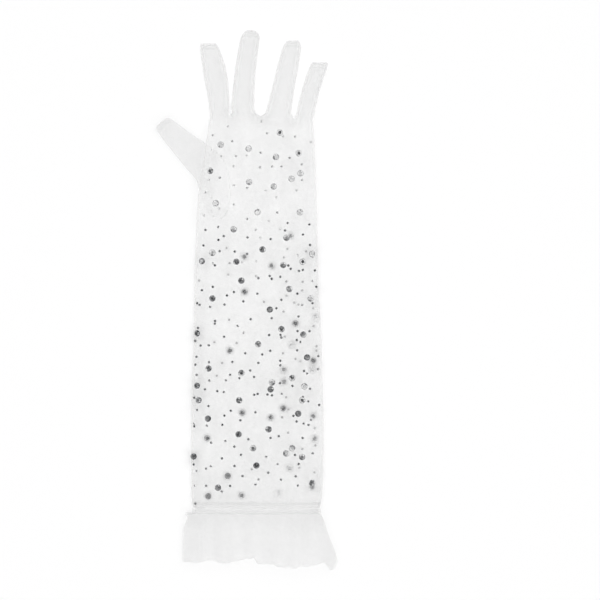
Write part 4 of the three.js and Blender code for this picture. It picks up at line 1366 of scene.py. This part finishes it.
class GLOVE_OT_seams(bpy.types.Operator):
    """Makes the overlocked seams round the glove's outline and round the thumb's hole"""

    bl_idname = "glove.seams"
    bl_label = "Seams"

    def execute(self, context):
        """Makes both seams."""
        outline = self.outline()
        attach(outline, "root")
        ring = self.ring()
        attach(ring, "root")
        return {"FINISHED"}

    def outline(self):
        """The seam on the edge that both sheets share, but for where the thumb lies beside it."""
        under = Panel(palm_level)
        over = Panel(back_level)
        points, flat, cover, faces = [], [], [], []
        run = 0.0
        before = last_outer = None
        for outer, inner in under.seam_line():
            edge = Vector(under.points[outer]).lerp(Vector(over.points[outer]), 0.5)
            inside = Vector(under.points[inner]).lerp(Vector(over.points[inner]), SEAM_LEVEL)
            run += (edge - before).length if before else 0.0
            before = edge
            start = len(points)
            middle = edge.lerp(inside, 0.5) + Vector((0, 0, SEAM_RISE))
            points += [tuple(edge), tuple(middle), tuple(edge.lerp(inside, SEAM_SPAN))]
            flat += [(0, run), (SEAM_WIDTH / 2, run), (SEAM_WIDTH, run)]
            cover += SEAM_YARN
            if start and beyond_thumb(edge.x, edge.y) > SEAM_CLEARS_THUMB:
                outer_face = (start, start + 1, start - 2)
                at_fork = outer == last_outer
                faces.append(outer_face if at_fork else (*outer_face, start - 3))
                faces.append((start + 1, start + 2, start - 1, start - 2))
            last_outer = outer
        return cloth_object("outline_seam", points, flat, cover, faces, glove_material("overlocked_seam"))

    def ring(self):
        """The seam round the thumb's hole: a narrow strip on both sides of its line."""
        loop = THUMB_SEAM_LOOP
        count = len(loop)
        points, flat, cover, faces = [], [], [], []
        run = 0.0
        for i, here in enumerate(loop):
            ahead = (loop[(i + 1) % count] - loop[i - 1]).normalized()
            side = Vector((ahead.y, -ahead.x))
            run += (here - loop[i - 1]).length if i else 0.0
            for across, level, yarn in THUMB_SEAM_STRIP:
                points.append((*(here + side * across), level))
                flat.append((across, run))
                cover.append(yarn)
            a, b = i * 3, (i + 1) % count * 3
            faces += [(a, b, b + 1, a + 1), (a + 1, b + 1, b + 2, a + 2)]
        return cloth_object("thumb_seam", points, flat, cover, faces, glove_material("overlocked_seam"))


class GLOVE_OT_back_cloth(bpy.types.Operator):
    """Makes the upper cloth: back of the hand, fingers and sleeve in one sheet"""

    bl_idname = "glove.back_cloth"
    bl_label = "Back Cloth"

    def execute(self, context):
        panel = Panel(back_level)
        tulle = glove_material("nylon_tulle")
        piece = cloth_object("back_cloth", panel.points, panel.flat, panel.cover, panel.faces, tulle)
        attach(piece, "root")
        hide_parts("back_panel")
        return {"FINISHED"}


class GLOVE_OT_palm_cloth(bpy.types.Operator):
    """Makes the lower cloth, with the oval hole that the thumb is sewn to"""

    bl_idname = "glove.palm_cloth"
    bl_label = "Palm Cloth"

    def execute(self, context):
        """Lays the sheet on the surface and cuts the thumb's hole in it."""
        panel = Panel(palm_level)
        faces = []
        for face in panel.faces:
            x, y, _ = middle_of(panel.points, face)
            if not (inside_thumb_seam(x, y) and beyond_thumb(x, y) < -HOLE_INSIDE):
                faces.append(tuple(reversed(face)))
        tulle = glove_material("nylon_tulle")
        piece = cloth_object("palm_cloth", panel.points, panel.flat, panel.cover, faces, tulle, shades=True)
        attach(piece, "root")
        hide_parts("palm_panel")
        return {"FINISHED"}


class GLOVE_OT_thumb_cloth(bpy.types.Operator):
    """Makes the set-in thumb: a flat pocket under the hand, open where it is sewn to the palm"""

    bl_idname = "glove.thumb_cloth"
    bl_label = "Thumb Cloth"

    def execute(self, context):
        """Lofts flattened sections from the heel of the hand to the tip."""
        rows = []
        run = 0.0
        for before, row in zip((THUMB_ROWS[0], *THUMB_ROWS), THUMB_ROWS):
            run += math.dist(before[:2], row[:2])
            rows.append((run, *row))
        points, flat, cover = [], [], []
        for r in range(THUMB_STEPS + 1):
            self.add_section(rows, run * r / THUMB_STEPS, points, flat, cover)
        sides = THUMB_SIDES
        faces = []
        for r in range(THUMB_STEPS):
            low, high = r * sides, (r + 1) * sides
            for k in range(sides):
                n = (k + 1) % sides
                face = (low + n, high + n, high + k, low + k)
                x, y, z = middle_of(points, face)
                under_hand = x > left_edge(y) + THUMB_OPEN_INSIDE or inside_thumb_seam(x, y)
                if not (under_hand and z > THUMB_HEIGHT * THUMB_OPEN_ABOVE):
                    faces.append(face)
        faces.append(tuple(range(sides)))
        faces.append(tuple(reversed(range(THUMB_STEPS * sides, (THUMB_STEPS + 1) * sides))))
        tulle = glove_material("nylon_tulle")
        piece = cloth_object("thumb_cloth", points, flat, cover, faces, tulle, shades=True)
        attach(piece, "root")
        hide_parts("thumb")
        return {"FINISHED"}

    def add_section(self, rows, s, points, flat, cover):
        """The flattened section at a distance s along the thumb, rounded off near both of its ends."""
        run = rows[-1][0]
        x, y, half = through(rows, s)
        x2, y2, _ = through(rows, min(s + 0.5, run))
        x1, y1, _ = through(rows, max(s - 0.5, 0))
        ahead = Vector((x2 - x1, y2 - y1)).normalized()
        side = Vector((ahead.y, -ahead.x))
        end = min(s / THUMB_ROUND, (run - s) / THUMB_ROUND, 1.0)
        round_end = math.sqrt(max(1 - (1 - end) ** 2, THUMB_END_LEAST))
        half = half * mix(THUMB_END_WIDTH, 1, round_end) - THUMB_INSIDE[0]
        radius = (THUMB_HEIGHT / 2 - THUMB_INSIDE[1]) * round_end
        for k in range(THUMB_SIDES):
            angle = 2 * math.pi * k / THUMB_SIDES
            across, rise = math.cos(angle), math.sin(angle)
            out = math.copysign(abs(across) ** THUMB_SQUARE[0], across) * half
            up = math.copysign(abs(rise) ** THUMB_SQUARE[1], rise) * radius
            uneven = creases(x + out, y, THUMB_CREASES) * (1 if up > 0 else THUMB_UNDER_CREASED)
            spot = Vector((x, y)) + side * out
            points.append((spot.x, spot.y, THUMB_HEIGHT / 2 + up + uneven * min(abs(up), 1)))
            flat.append((out + (0 if up > 0 else THUMB_FLAT_OFF), s))
            share = THUMB_YARN + added(THUMB_YARN_AT_EDGE, abs(across)) + added(THUMB_YARN_AT_TIP, run - s)
            inward = spot.x - left_edge(spot.y)
            if up > 0:
                share *= 1 - ease(inward, *THUMB_UPPER_FADE)
            elif inside_thumb_seam(spot.x, spot.y):
                share = mix(*THUMB_YARN_IN_HOLE, ease(spot.x, *THUMB_HOLE_SPAN))
            else:
                share = mix(share, THUMB_YARN_HIDDEN, ease(inward, *THUMB_UNDER_FADE))
            cover.append(share)


def evenly_spaced(loop, step):
    """Points about step apart round a closed line, and its whole length."""
    ends = [*loop, loop[0]]
    total = sum((b - a).length for a, b in zip(ends, ends[1:]))
    count = round(total / step)
    spaced = []
    run, i = 0.0, 0
    for k in range(count):
        want = total * k / count
        while run + (ends[i + 1] - ends[i]).length < want:
            run += (ends[i + 1] - ends[i]).length
            i += 1
        spaced.append(ends[i].lerp(ends[i + 1], (want - run) / max((ends[i + 1] - ends[i]).length, 1e-6)))
    return spaced, total


def band_line():
    """The casing's middle line: points round the cuff, the way out at each, and how far round it lies."""
    width = CUFF_HALF * 2
    last = BAND_ARC_STEPS
    arc = []
    for i in range(last + 1):
        share = 0.5 - 0.5 * math.cos(math.pi * i / last)
        rise = CUFF_HOLLOW * arch(between_seams(share, width))
        arc.append(Vector((-CUFF_HALF + share * width, ARM_REST + WALL + GAP + rise)))
    upper = []
    for i, here in enumerate(arc):
        run = (arc[min(i + 1, last)] - arc[max(i - 1, 0)]).normalized()
        upper.append(here + Vector((-run.y, run.x)) * BAND_OUT)
    upper[0].x, upper[-1].x = -BAND_SIDE, BAND_SIDE
    end = BAND_SIDE - BAND_UNDER_INSET
    steps = BAND_UNDER_STEPS
    lower = [Vector((mix(end, -end, i / steps), BAND_UNDER)) for i in range(steps + 1)]
    right = [Vector(p) for p in BAND_CORNER]
    left = [Vector((-x, z)) for x, z in reversed(BAND_CORNER)]
    spaced, total = evenly_spaced([*upper, *right, *lower, *left], BAND_SPACING)
    count = len(spaced)
    line = []
    for k, here in enumerate(spaced):
        ahead = (spaced[(k + 2) % count] - spaced[k - 2]).normalized()
        line.append((here, Vector((-ahead.y, ahead.x)), total * k / count))
    return line


class GLOVE_OT_hem_band(bpy.types.Operator):
    """Makes the folded casing round the cuff, with its two rows of stitches"""

    bl_idname = "glove.hem_band"
    bl_label = "Hem Band"

    def execute(self, context):
        """Runs the casing's section round the cuff and sews it down."""
        line = band_line()
        points, flat, cover, faces = [], [], [], []
        upper = []
        for here, out, run in line:
            is_under = out.y < -0.5
            gather = 0.0 if is_under else BAND_PUCKER
            wave = 0.0 if is_under else creases(run, 0, BAND_WAVE)
            for y, off in BAND_SECTION:
                middle = math.sin(math.pi * min(y / BAND_LENGTH, 1))
                pucker = gather * crease(run, y * 2, *BAND_PUCKERS) * mix(BAND_EDGE_PUCKER, 1, middle)
                spot = here + out * (off + pucker)
                points.append((spot.x, y + wave, max(spot.y, LEAST)))
                flat.append((run, y))
                share = mix(*BAND_YARN, ease(y, SLEEVE_END - 1.5, SLEEVE_END + 2))
                share += added(BAND_YARN_AT_SIDE, abs(spot.x)) + added(BAND_YARN_AT_EDGE, y)
                cover.append(share + creases(run, y, BAND_YARN_DRIFT))
            if not is_under:
                upper.append((here, out, run))
        size = len(BAND_SECTION)
        for k in range(1, len(line) + 1):
            a, b = (k - 1) * size, k % len(line) * size
            faces += [(a + j, a + j + 1, b + j + 1, b + j) for j in range(size - 1)]
        # The casing's tulle is a darker copy of the tulle: painted shade, since the casing casts no shadow
        piece = cloth_object("hem_band_cloth", points, flat, cover, faces, glove_material("casing_tulle"))
        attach(piece, "root")
        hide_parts("hem_band")
        stitches = self.stitches(upper)
        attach(stitches, "root")
        return {"FINISHED"}

    def stitches(self, line):
        """Two rows of lockstitches, each one short thread bowed over the cloth."""
        deselect_all()
        bpy.ops.mesh.primitive_cylinder_add(
            vertices=6, radius=STITCH_RADIUS / 1000, depth=STITCH_LENGTH / 1000, end_fill_type="TRIFAN"
        )
        thread = bpy.context.object
        bpy.ops.object.mode_set(mode="EDIT")
        bpy.ops.mesh.select_all(action="SELECT")
        bpy.ops.transform.rotate(value=math.pi / 2, orient_axis="Y", center_override=(0, 0, 0))
        bpy.ops.mesh.subdivide(number_cuts=1)
        bpy.ops.object.mode_set(mode="OBJECT")
        half = STITCH_LENGTH / 2000
        for v in thread.data.vertices:
            v.co.z += STITCH_BOW / 1000 * (1 - (v.co.x / half) ** 2)
        pattern = thread.data.copy()
        bpy.data.objects.remove(thread)
        matrices = []
        for y in STITCH_ROWS:
            wanted = FIRST_STITCH
            for here, out, run in line:
                if run < wanted:
                    continue
                wanted = run + STITCH_SPACING
                spot = here + out * STITCH_OUT
                centre = place(spot.x, y + creases(run, 0, BAND_WAVE), spot.y)
                across = Vector((out.y, 0, -out.x))
                up = Vector((out.x, 0, out.y))
                turn = Matrix((across, up.cross(across), up)).transposed()
                matrices.append(Matrix.Translation(centre) @ turn.to_4x4())
        return joined_copies("hem_stitches", pattern, matrices, glove_material("sewing_thread"))


def frill_loop(share):
    """Points round the frill at a share of its reach: over its upper folds and back along the surface."""
    left, right, side, crown, fold, under = through(FRILL_ROWS, share)
    edge_left, edge_right = FRILL_ROWS[-1][1], FRILL_ROWS[-1][2]
    side -= FRILL_SINKS
    whole = sum(wide for wide, _ in FRILL_FOLDS)
    loop = []
    start = 0.0
    for wide, high in FRILL_FOLDS:
        for k in range(FOLD_STEPS):
            t = k / FOLD_STEPS
            part = (start + wide * t) / whole
            across = part * FRILL_WIDTH
            crest = (1 - math.cos(2 * math.pi * t)) / 2
            uneven = creases(across, share, GATHERS) * (1 - share) ** GATHERS_FADE
            uneven += creases(across, share, RIPPLES) * math.sqrt(share)
            from_side = min(part, 1 - part)
            z = side + crown * arch(part * 2 - 1) + fold * high * crest
            z += uneven * min(from_side / FRILL_EVEN_END, 1)
            reach = between(FRILL_EDGE, mix(edge_left, edge_right, part)) + creases(across, 0, RAGGED_EDGE)
            loop.append((mix(left, right, part), z, reach))
        start += wide
    for t in (0.0, 0.35, 0.7, 1.0):
        loop.append((right - t, mix(side, FRILL_TURN, t), FRILL_EDGE[-1][1] - 5 * t))
    count = UNDER_FOLDS * UNDER_STEPS
    for k in range(count + 1):
        part = 1 - k / count
        across = part * FRILL_WIDTH
        x = mix(left + UNDER_INSET, right - UNDER_INSET, part)
        crest = (1 - math.cos(2 * math.pi * k / UNDER_STEPS)) / 2
        z = UNDER_LEVEL + under * crest
        z += UNDER_DENT_HEIGHT * abs(crease(x, share, *UNDER_DENT)) * (1 - share)
        reach = between(FRILL_EDGE, mix(edge_left, edge_right, part)) + creases(across, 0, RAGGED_EDGE)
        loop.append((x, z, reach + UNDER_FURTHER))
    for t in (0.0, 0.5):
        loop.append((left + 0.7 * (1 - t), mix(FRILL_TURN, side, t), FRILL_EDGE[0][1] - 1))
    return loop


class GLOVE_OT_frill(bpy.types.Operator):
    """Makes the gathered frill below the hem band, with its rolled edge"""

    bl_idname = "glove.frill"
    bl_label = "Frill"

    def execute(self, context):
        """Runs the gathered loop from the band to the edge."""
        points, flat, cover, faces = [], [], [], []
        for r in range(FRILL_STEPS + 1):
            share = (r / FRILL_STEPS) ** FRILL_CROWDING
            loop = frill_loop(share)
            size = len(loop)
            run = 0.0
            for k, (x, z, reach) in enumerate(loop):
                run += math.dist((x, z), loop[k - 1][:2]) if k else 0.0
                y = FRILL_INSIDE - share * (reach + FRILL_INSIDE)
                y += added(TUFT, -x) * ease(share, *TUFT_FADE)
                points.append((x, y, max(z, LEAST)))
                flat.append((run, -share * FRILL_LENGTH))
                thick = mix(*FRILL_YARN, ease(share, *FRILL_YARN_SPAN)) + added(FRILL_YARN_AT_EDGE, share)
                cover.append(thick + creases(x, y, FRILL_YARN_DRIFT) * min(share / FRILL_DRIFT_FROM, 1))
            if r:
                low, high = (r - 1) * size, r * size
                for k in range(size):
                    n = (k + 1) % size
                    faces.append((high + k, high + n, low + n, low + k))
        tulle = glove_material("gathered_tulle")
        piece = cloth_object("frill_cloth", points, flat, cover, faces, tulle, shades=True)
        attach(piece, "root")
        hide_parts("ruffle")
        upper = len(FRILL_FOLDS) * FOLD_STEPS
        last_row = points[-size:]
        rolled = self.rolled_edge([(x, y, max(z, ROLL_LEVEL)) for x, y, z in last_row[:upper + 1]])
        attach(rolled, "root")
        return {"FINISHED"}

    def rolled_edge(self, line):
        """The frill's edge, rolled in: a soft round cord of cloth that follows a line."""
        points, flat, cover, faces = [], [], [], []
        run = 0.0
        for i, here in enumerate(line):
            before, after = line[max(i - 1, 0)], line[min(i + 1, len(line) - 1)]
            ahead = (Vector(after) - Vector(before)).normalized()
            side = ahead.cross(Vector((0, 0, 1))).normalized()
            up = side.cross(ahead) * ROLL_FLATTEN
            run += (Vector(here) - Vector(before)).length
            for k in range(ROLL_SIDES):
                angle = 2 * math.pi * k / ROLL_SIDES
                out = side * math.cos(angle) + up * math.sin(angle)
                points.append(tuple(Vector(here) + out * ROLL_RADIUS))
                flat.append((k * ROLL_RADIUS, run))
                cover.append(ROLL_YARN)
            if i:
                low, high = (i - 1) * ROLL_SIDES, i * ROLL_SIDES
                for k in range(ROLL_SIDES):
                    n = (k + 1) % ROLL_SIDES
                    faces.append((low + k, low + n, high + n, high + k))
        return cloth_object("frill_edge", points, flat, cover, faces, glove_material("overlocked_seam"))


class GLOVE_OT_main_stones(bpy.types.Operator):
    """Cuts the large rhinestone once and sets a copy at each of its forty places"""

    bl_idname = "glove.main_stones"
    bl_label = "Main Stones"

    def execute(self, context):
        """Gives each copy its own painted facets' brightness."""
        dice = random.Random(40)
        pattern = cut_stone("cut_stone", STONE)
        crystal = glove_material("foil_backed_crystal")
        cloth = tree_of("back_cloth")
        for i, (x, y, shine) in enumerate(MAIN_STONES, 1):
            lean = random_lean(dice)
            matrix = seat(cloth, x, y, True, STONE["diameter"] / 2000, dice.uniform(0, math.pi), lean)
            glints = painted_facet_glints(pattern, shine, dice)
            piece = joined_copies(f"rhinestone_{i:02d}", pattern, [matrix], crystal, [glints])
            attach(piece, "root")
            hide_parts(f"stone_{i:02d}")
        return {"FINISHED"}


class GLOVE_OT_set_stones(bpy.types.Operator):
    """Sets the stones beside the seams, those on the palm side, and the small ones"""

    bl_idname = "glove.set_stones"
    bl_label = "Set Stones"

    def execute(self, context):
        """Sews each group on at its charted places, as one piece a group."""
        dice = random.Random(7)
        large = cut_stone("cut_stone", STONE)
        backed = cut_stone("backed_cut_stone", STONE, rimmed=True)
        small = cut_stone("small_cut_stone", SMALL_STONE)
        self.sew("side_rhinestones", large, SIDE_STONES, True, dice)
        self.sew("underside_rhinestones", backed, UNDERSIDE_STONES, False, dice)
        above = [(x, y, self.small_shine(y)) for x, y in SMALL_STONES]
        above += [(x, y, self.lit_shine(y)) for x, y in SMALL_LIT_STONES]
        self.sew("small_rhinestones", small, above, True, dice)
        below = [(x, y, UNDERSIDE_SHINE) for x, y in SMALL_UNDERSIDE_STONES]
        self.sew("small_rhinestones_below", small, below, False, dice)
        return {"FINISHED"}

    def small_shine(self, y):
        """The painted shine of a small stone of the back: more painted light on the hand, and a little less
        at the knuckles.
        """
        shine = bpy.context.scene.glove_stones.shine
        return mix(shine, HAND_SHINE, ease(y, *HAND_SHINE_FROM)) + added(KNUCKLE_SHINE_DROP, y)

    def lit_shine(self, y):
        """The painted shine of a half lit small stone, which also grows towards the hand."""
        return mix(bpy.context.scene.glove_stones.lit_shine, LIT_HAND_SHINE, ease(y, *LIT_HAND_SHINE_FROM))

    def sew(self, name, pattern, places, on_back, dice):
        """One piece with a copy of a stone at each place, on the back or on the palm side."""
        cloth = tree_of("back_cloth", "hem_band_cloth") if on_back else tree_of("palm_cloth")
        radius = max(v.co.xy.length for v in pattern.vertices)
        flatter = Matrix.Diagonal((1, 1, 1 if on_back else PRESSED, 1))
        matrices, glints = [], []
        for x, y, shine in places:
            lean = random_lean(dice) if on_back else (0, 0, 0)
            matrices.append(seat(cloth, x, y, on_back, radius, dice.uniform(0, 3), lean) @ flatter)
            glints.append(painted_facet_glints(pattern, shine, dice))
        piece = joined_copies(name, pattern, matrices, glove_material("foil_backed_crystal"), glints)
        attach(piece, "root")


class GLOVE_OT_stage(bpy.types.Operator):
    """Lays the pale surface, hangs four soft lamps and sets the camera straight above"""

    bl_idname = "glove.stage"
    bl_label = "Stage"

    def execute(self, context):
        """Frames the glove as the picture does: a little to the left, the fingers up."""
        scene = context.scene
        stage = scene.glove_stage
        deselect_all()
        bpy.ops.mesh.primitive_plane_add(size=SURFACE_SIDE, location=(0, 0, 0))
        ground = context.object
        ground.name = "paper_surface"
        ground.data.materials.append(paper_material("white_paper"))
        middle = place(*PICTURE_MIDDLE, 0)
        for i in range(4):
            angle = math.radians(45 + 90 * i)
            spot = middle + Vector((math.cos(angle), math.sin(angle), 1)) * LAMP_OUT
            bpy.ops.object.light_add(type="AREA", location=spot)
            lamp = context.object
            lamp.name = f"soft_lamp_{i + 1}"
            lamp.data.shape = "SQUARE"
            lamp.data.size = LAMP_SIDE
            lamp.data.energy = stage.lamp_power
            lamp.rotation_mode = "QUATERNION"
            lamp.rotation_quaternion = (spot - middle).to_track_quat("Z", "Y")
        room = bpy.data.worlds.new("pale_room")
        room.use_nodes = True
        light = room.node_tree.nodes["Background"]
        light.inputs["Color"].default_value = (1, 1, 1, 1)
        light.inputs["Strength"].default_value = stage.room_light
        scene.world = room
        height = stage.camera_height + PICTURE_LEVEL / 1000
        bpy.ops.object.camera_add(location=(middle.x, middle.y, height), rotation=(0, 0, 0))
        eye = context.object
        eye.name = "camera_above"
        eye.data.sensor_width = SENSOR
        eye.data.lens = SENSOR * stage.camera_height / stage.picture_width
        eye.data.dof.use_dof = False
        scene.camera = eye
        scene.view_settings.view_transform = "Standard"
        return {"FINISHED"}


class GLOVE_PT_panel(bpy.types.Panel):
    """Lists the glove's pieces and sizes"""

    bl_idname = "GLOVE_PT_panel"
    bl_label = "Glove"
    bl_space_type = "VIEW_3D"
    bl_region_type = "UI"
    bl_category = "Glove"

    def draw(self, context):
        """A button for each group of pieces, and the sizes and colours above them."""
        scene = context.scene
        column = self.layout.column()
        for settings in (scene.glove_cloth, scene.glove_stones, scene.glove_stage):
            for name in settings.bl_rna.properties.keys():
                if name not in {"rna_type", "name"}:
                    column.prop(settings, name)
        for piece in PIECES:
            column.operator(piece.bl_idname)


PIECES = (
    GLOVE_OT_stage,
    GLOVE_OT_seams,
    GLOVE_OT_back_cloth,
    GLOVE_OT_palm_cloth,
    GLOVE_OT_thumb_cloth,
    GLOVE_OT_hem_band,
    GLOVE_OT_frill,
    GLOVE_OT_main_stones,
    GLOVE_OT_set_stones,
)
SETTINGS = (GloveClothSettings, GloveStoneSettings, GloveStageSettings)


def register():
    """Adds the settings, operators and panel."""
    for cls in (*SETTINGS, *PIECES, GLOVE_PT_panel):
        bpy.utils.register_class(cls)
    bpy.types.Scene.glove_cloth = bpy.props.PointerProperty(type=GloveClothSettings)
    bpy.types.Scene.glove_stones = bpy.props.PointerProperty(type=GloveStoneSettings)
    bpy.types.Scene.glove_stage = bpy.props.PointerProperty(type=GloveStageSettings)


def unregister():
    """Takes them away again."""
    del bpy.types.Scene.glove_stage
    del bpy.types.Scene.glove_stones
    del bpy.types.Scene.glove_cloth
    for cls in reversed((*SETTINGS, *PIECES, GLOVE_PT_panel)):
        bpy.utils.unregister_class(cls)


def main():
    """Makes the whole glove on its stage."""
    register()
    bpy.ops.glove.stage()
    bpy.ops.glove.seams()
    bpy.ops.glove.back_cloth()
    bpy.ops.glove.palm_cloth()
    bpy.ops.glove.thumb_cloth()
    bpy.ops.glove.hem_band()
    bpy.ops.glove.frill()
    bpy.ops.glove.main_stones()
    bpy.ops.glove.set_stones()


if __name__ == "__main__":
    main()
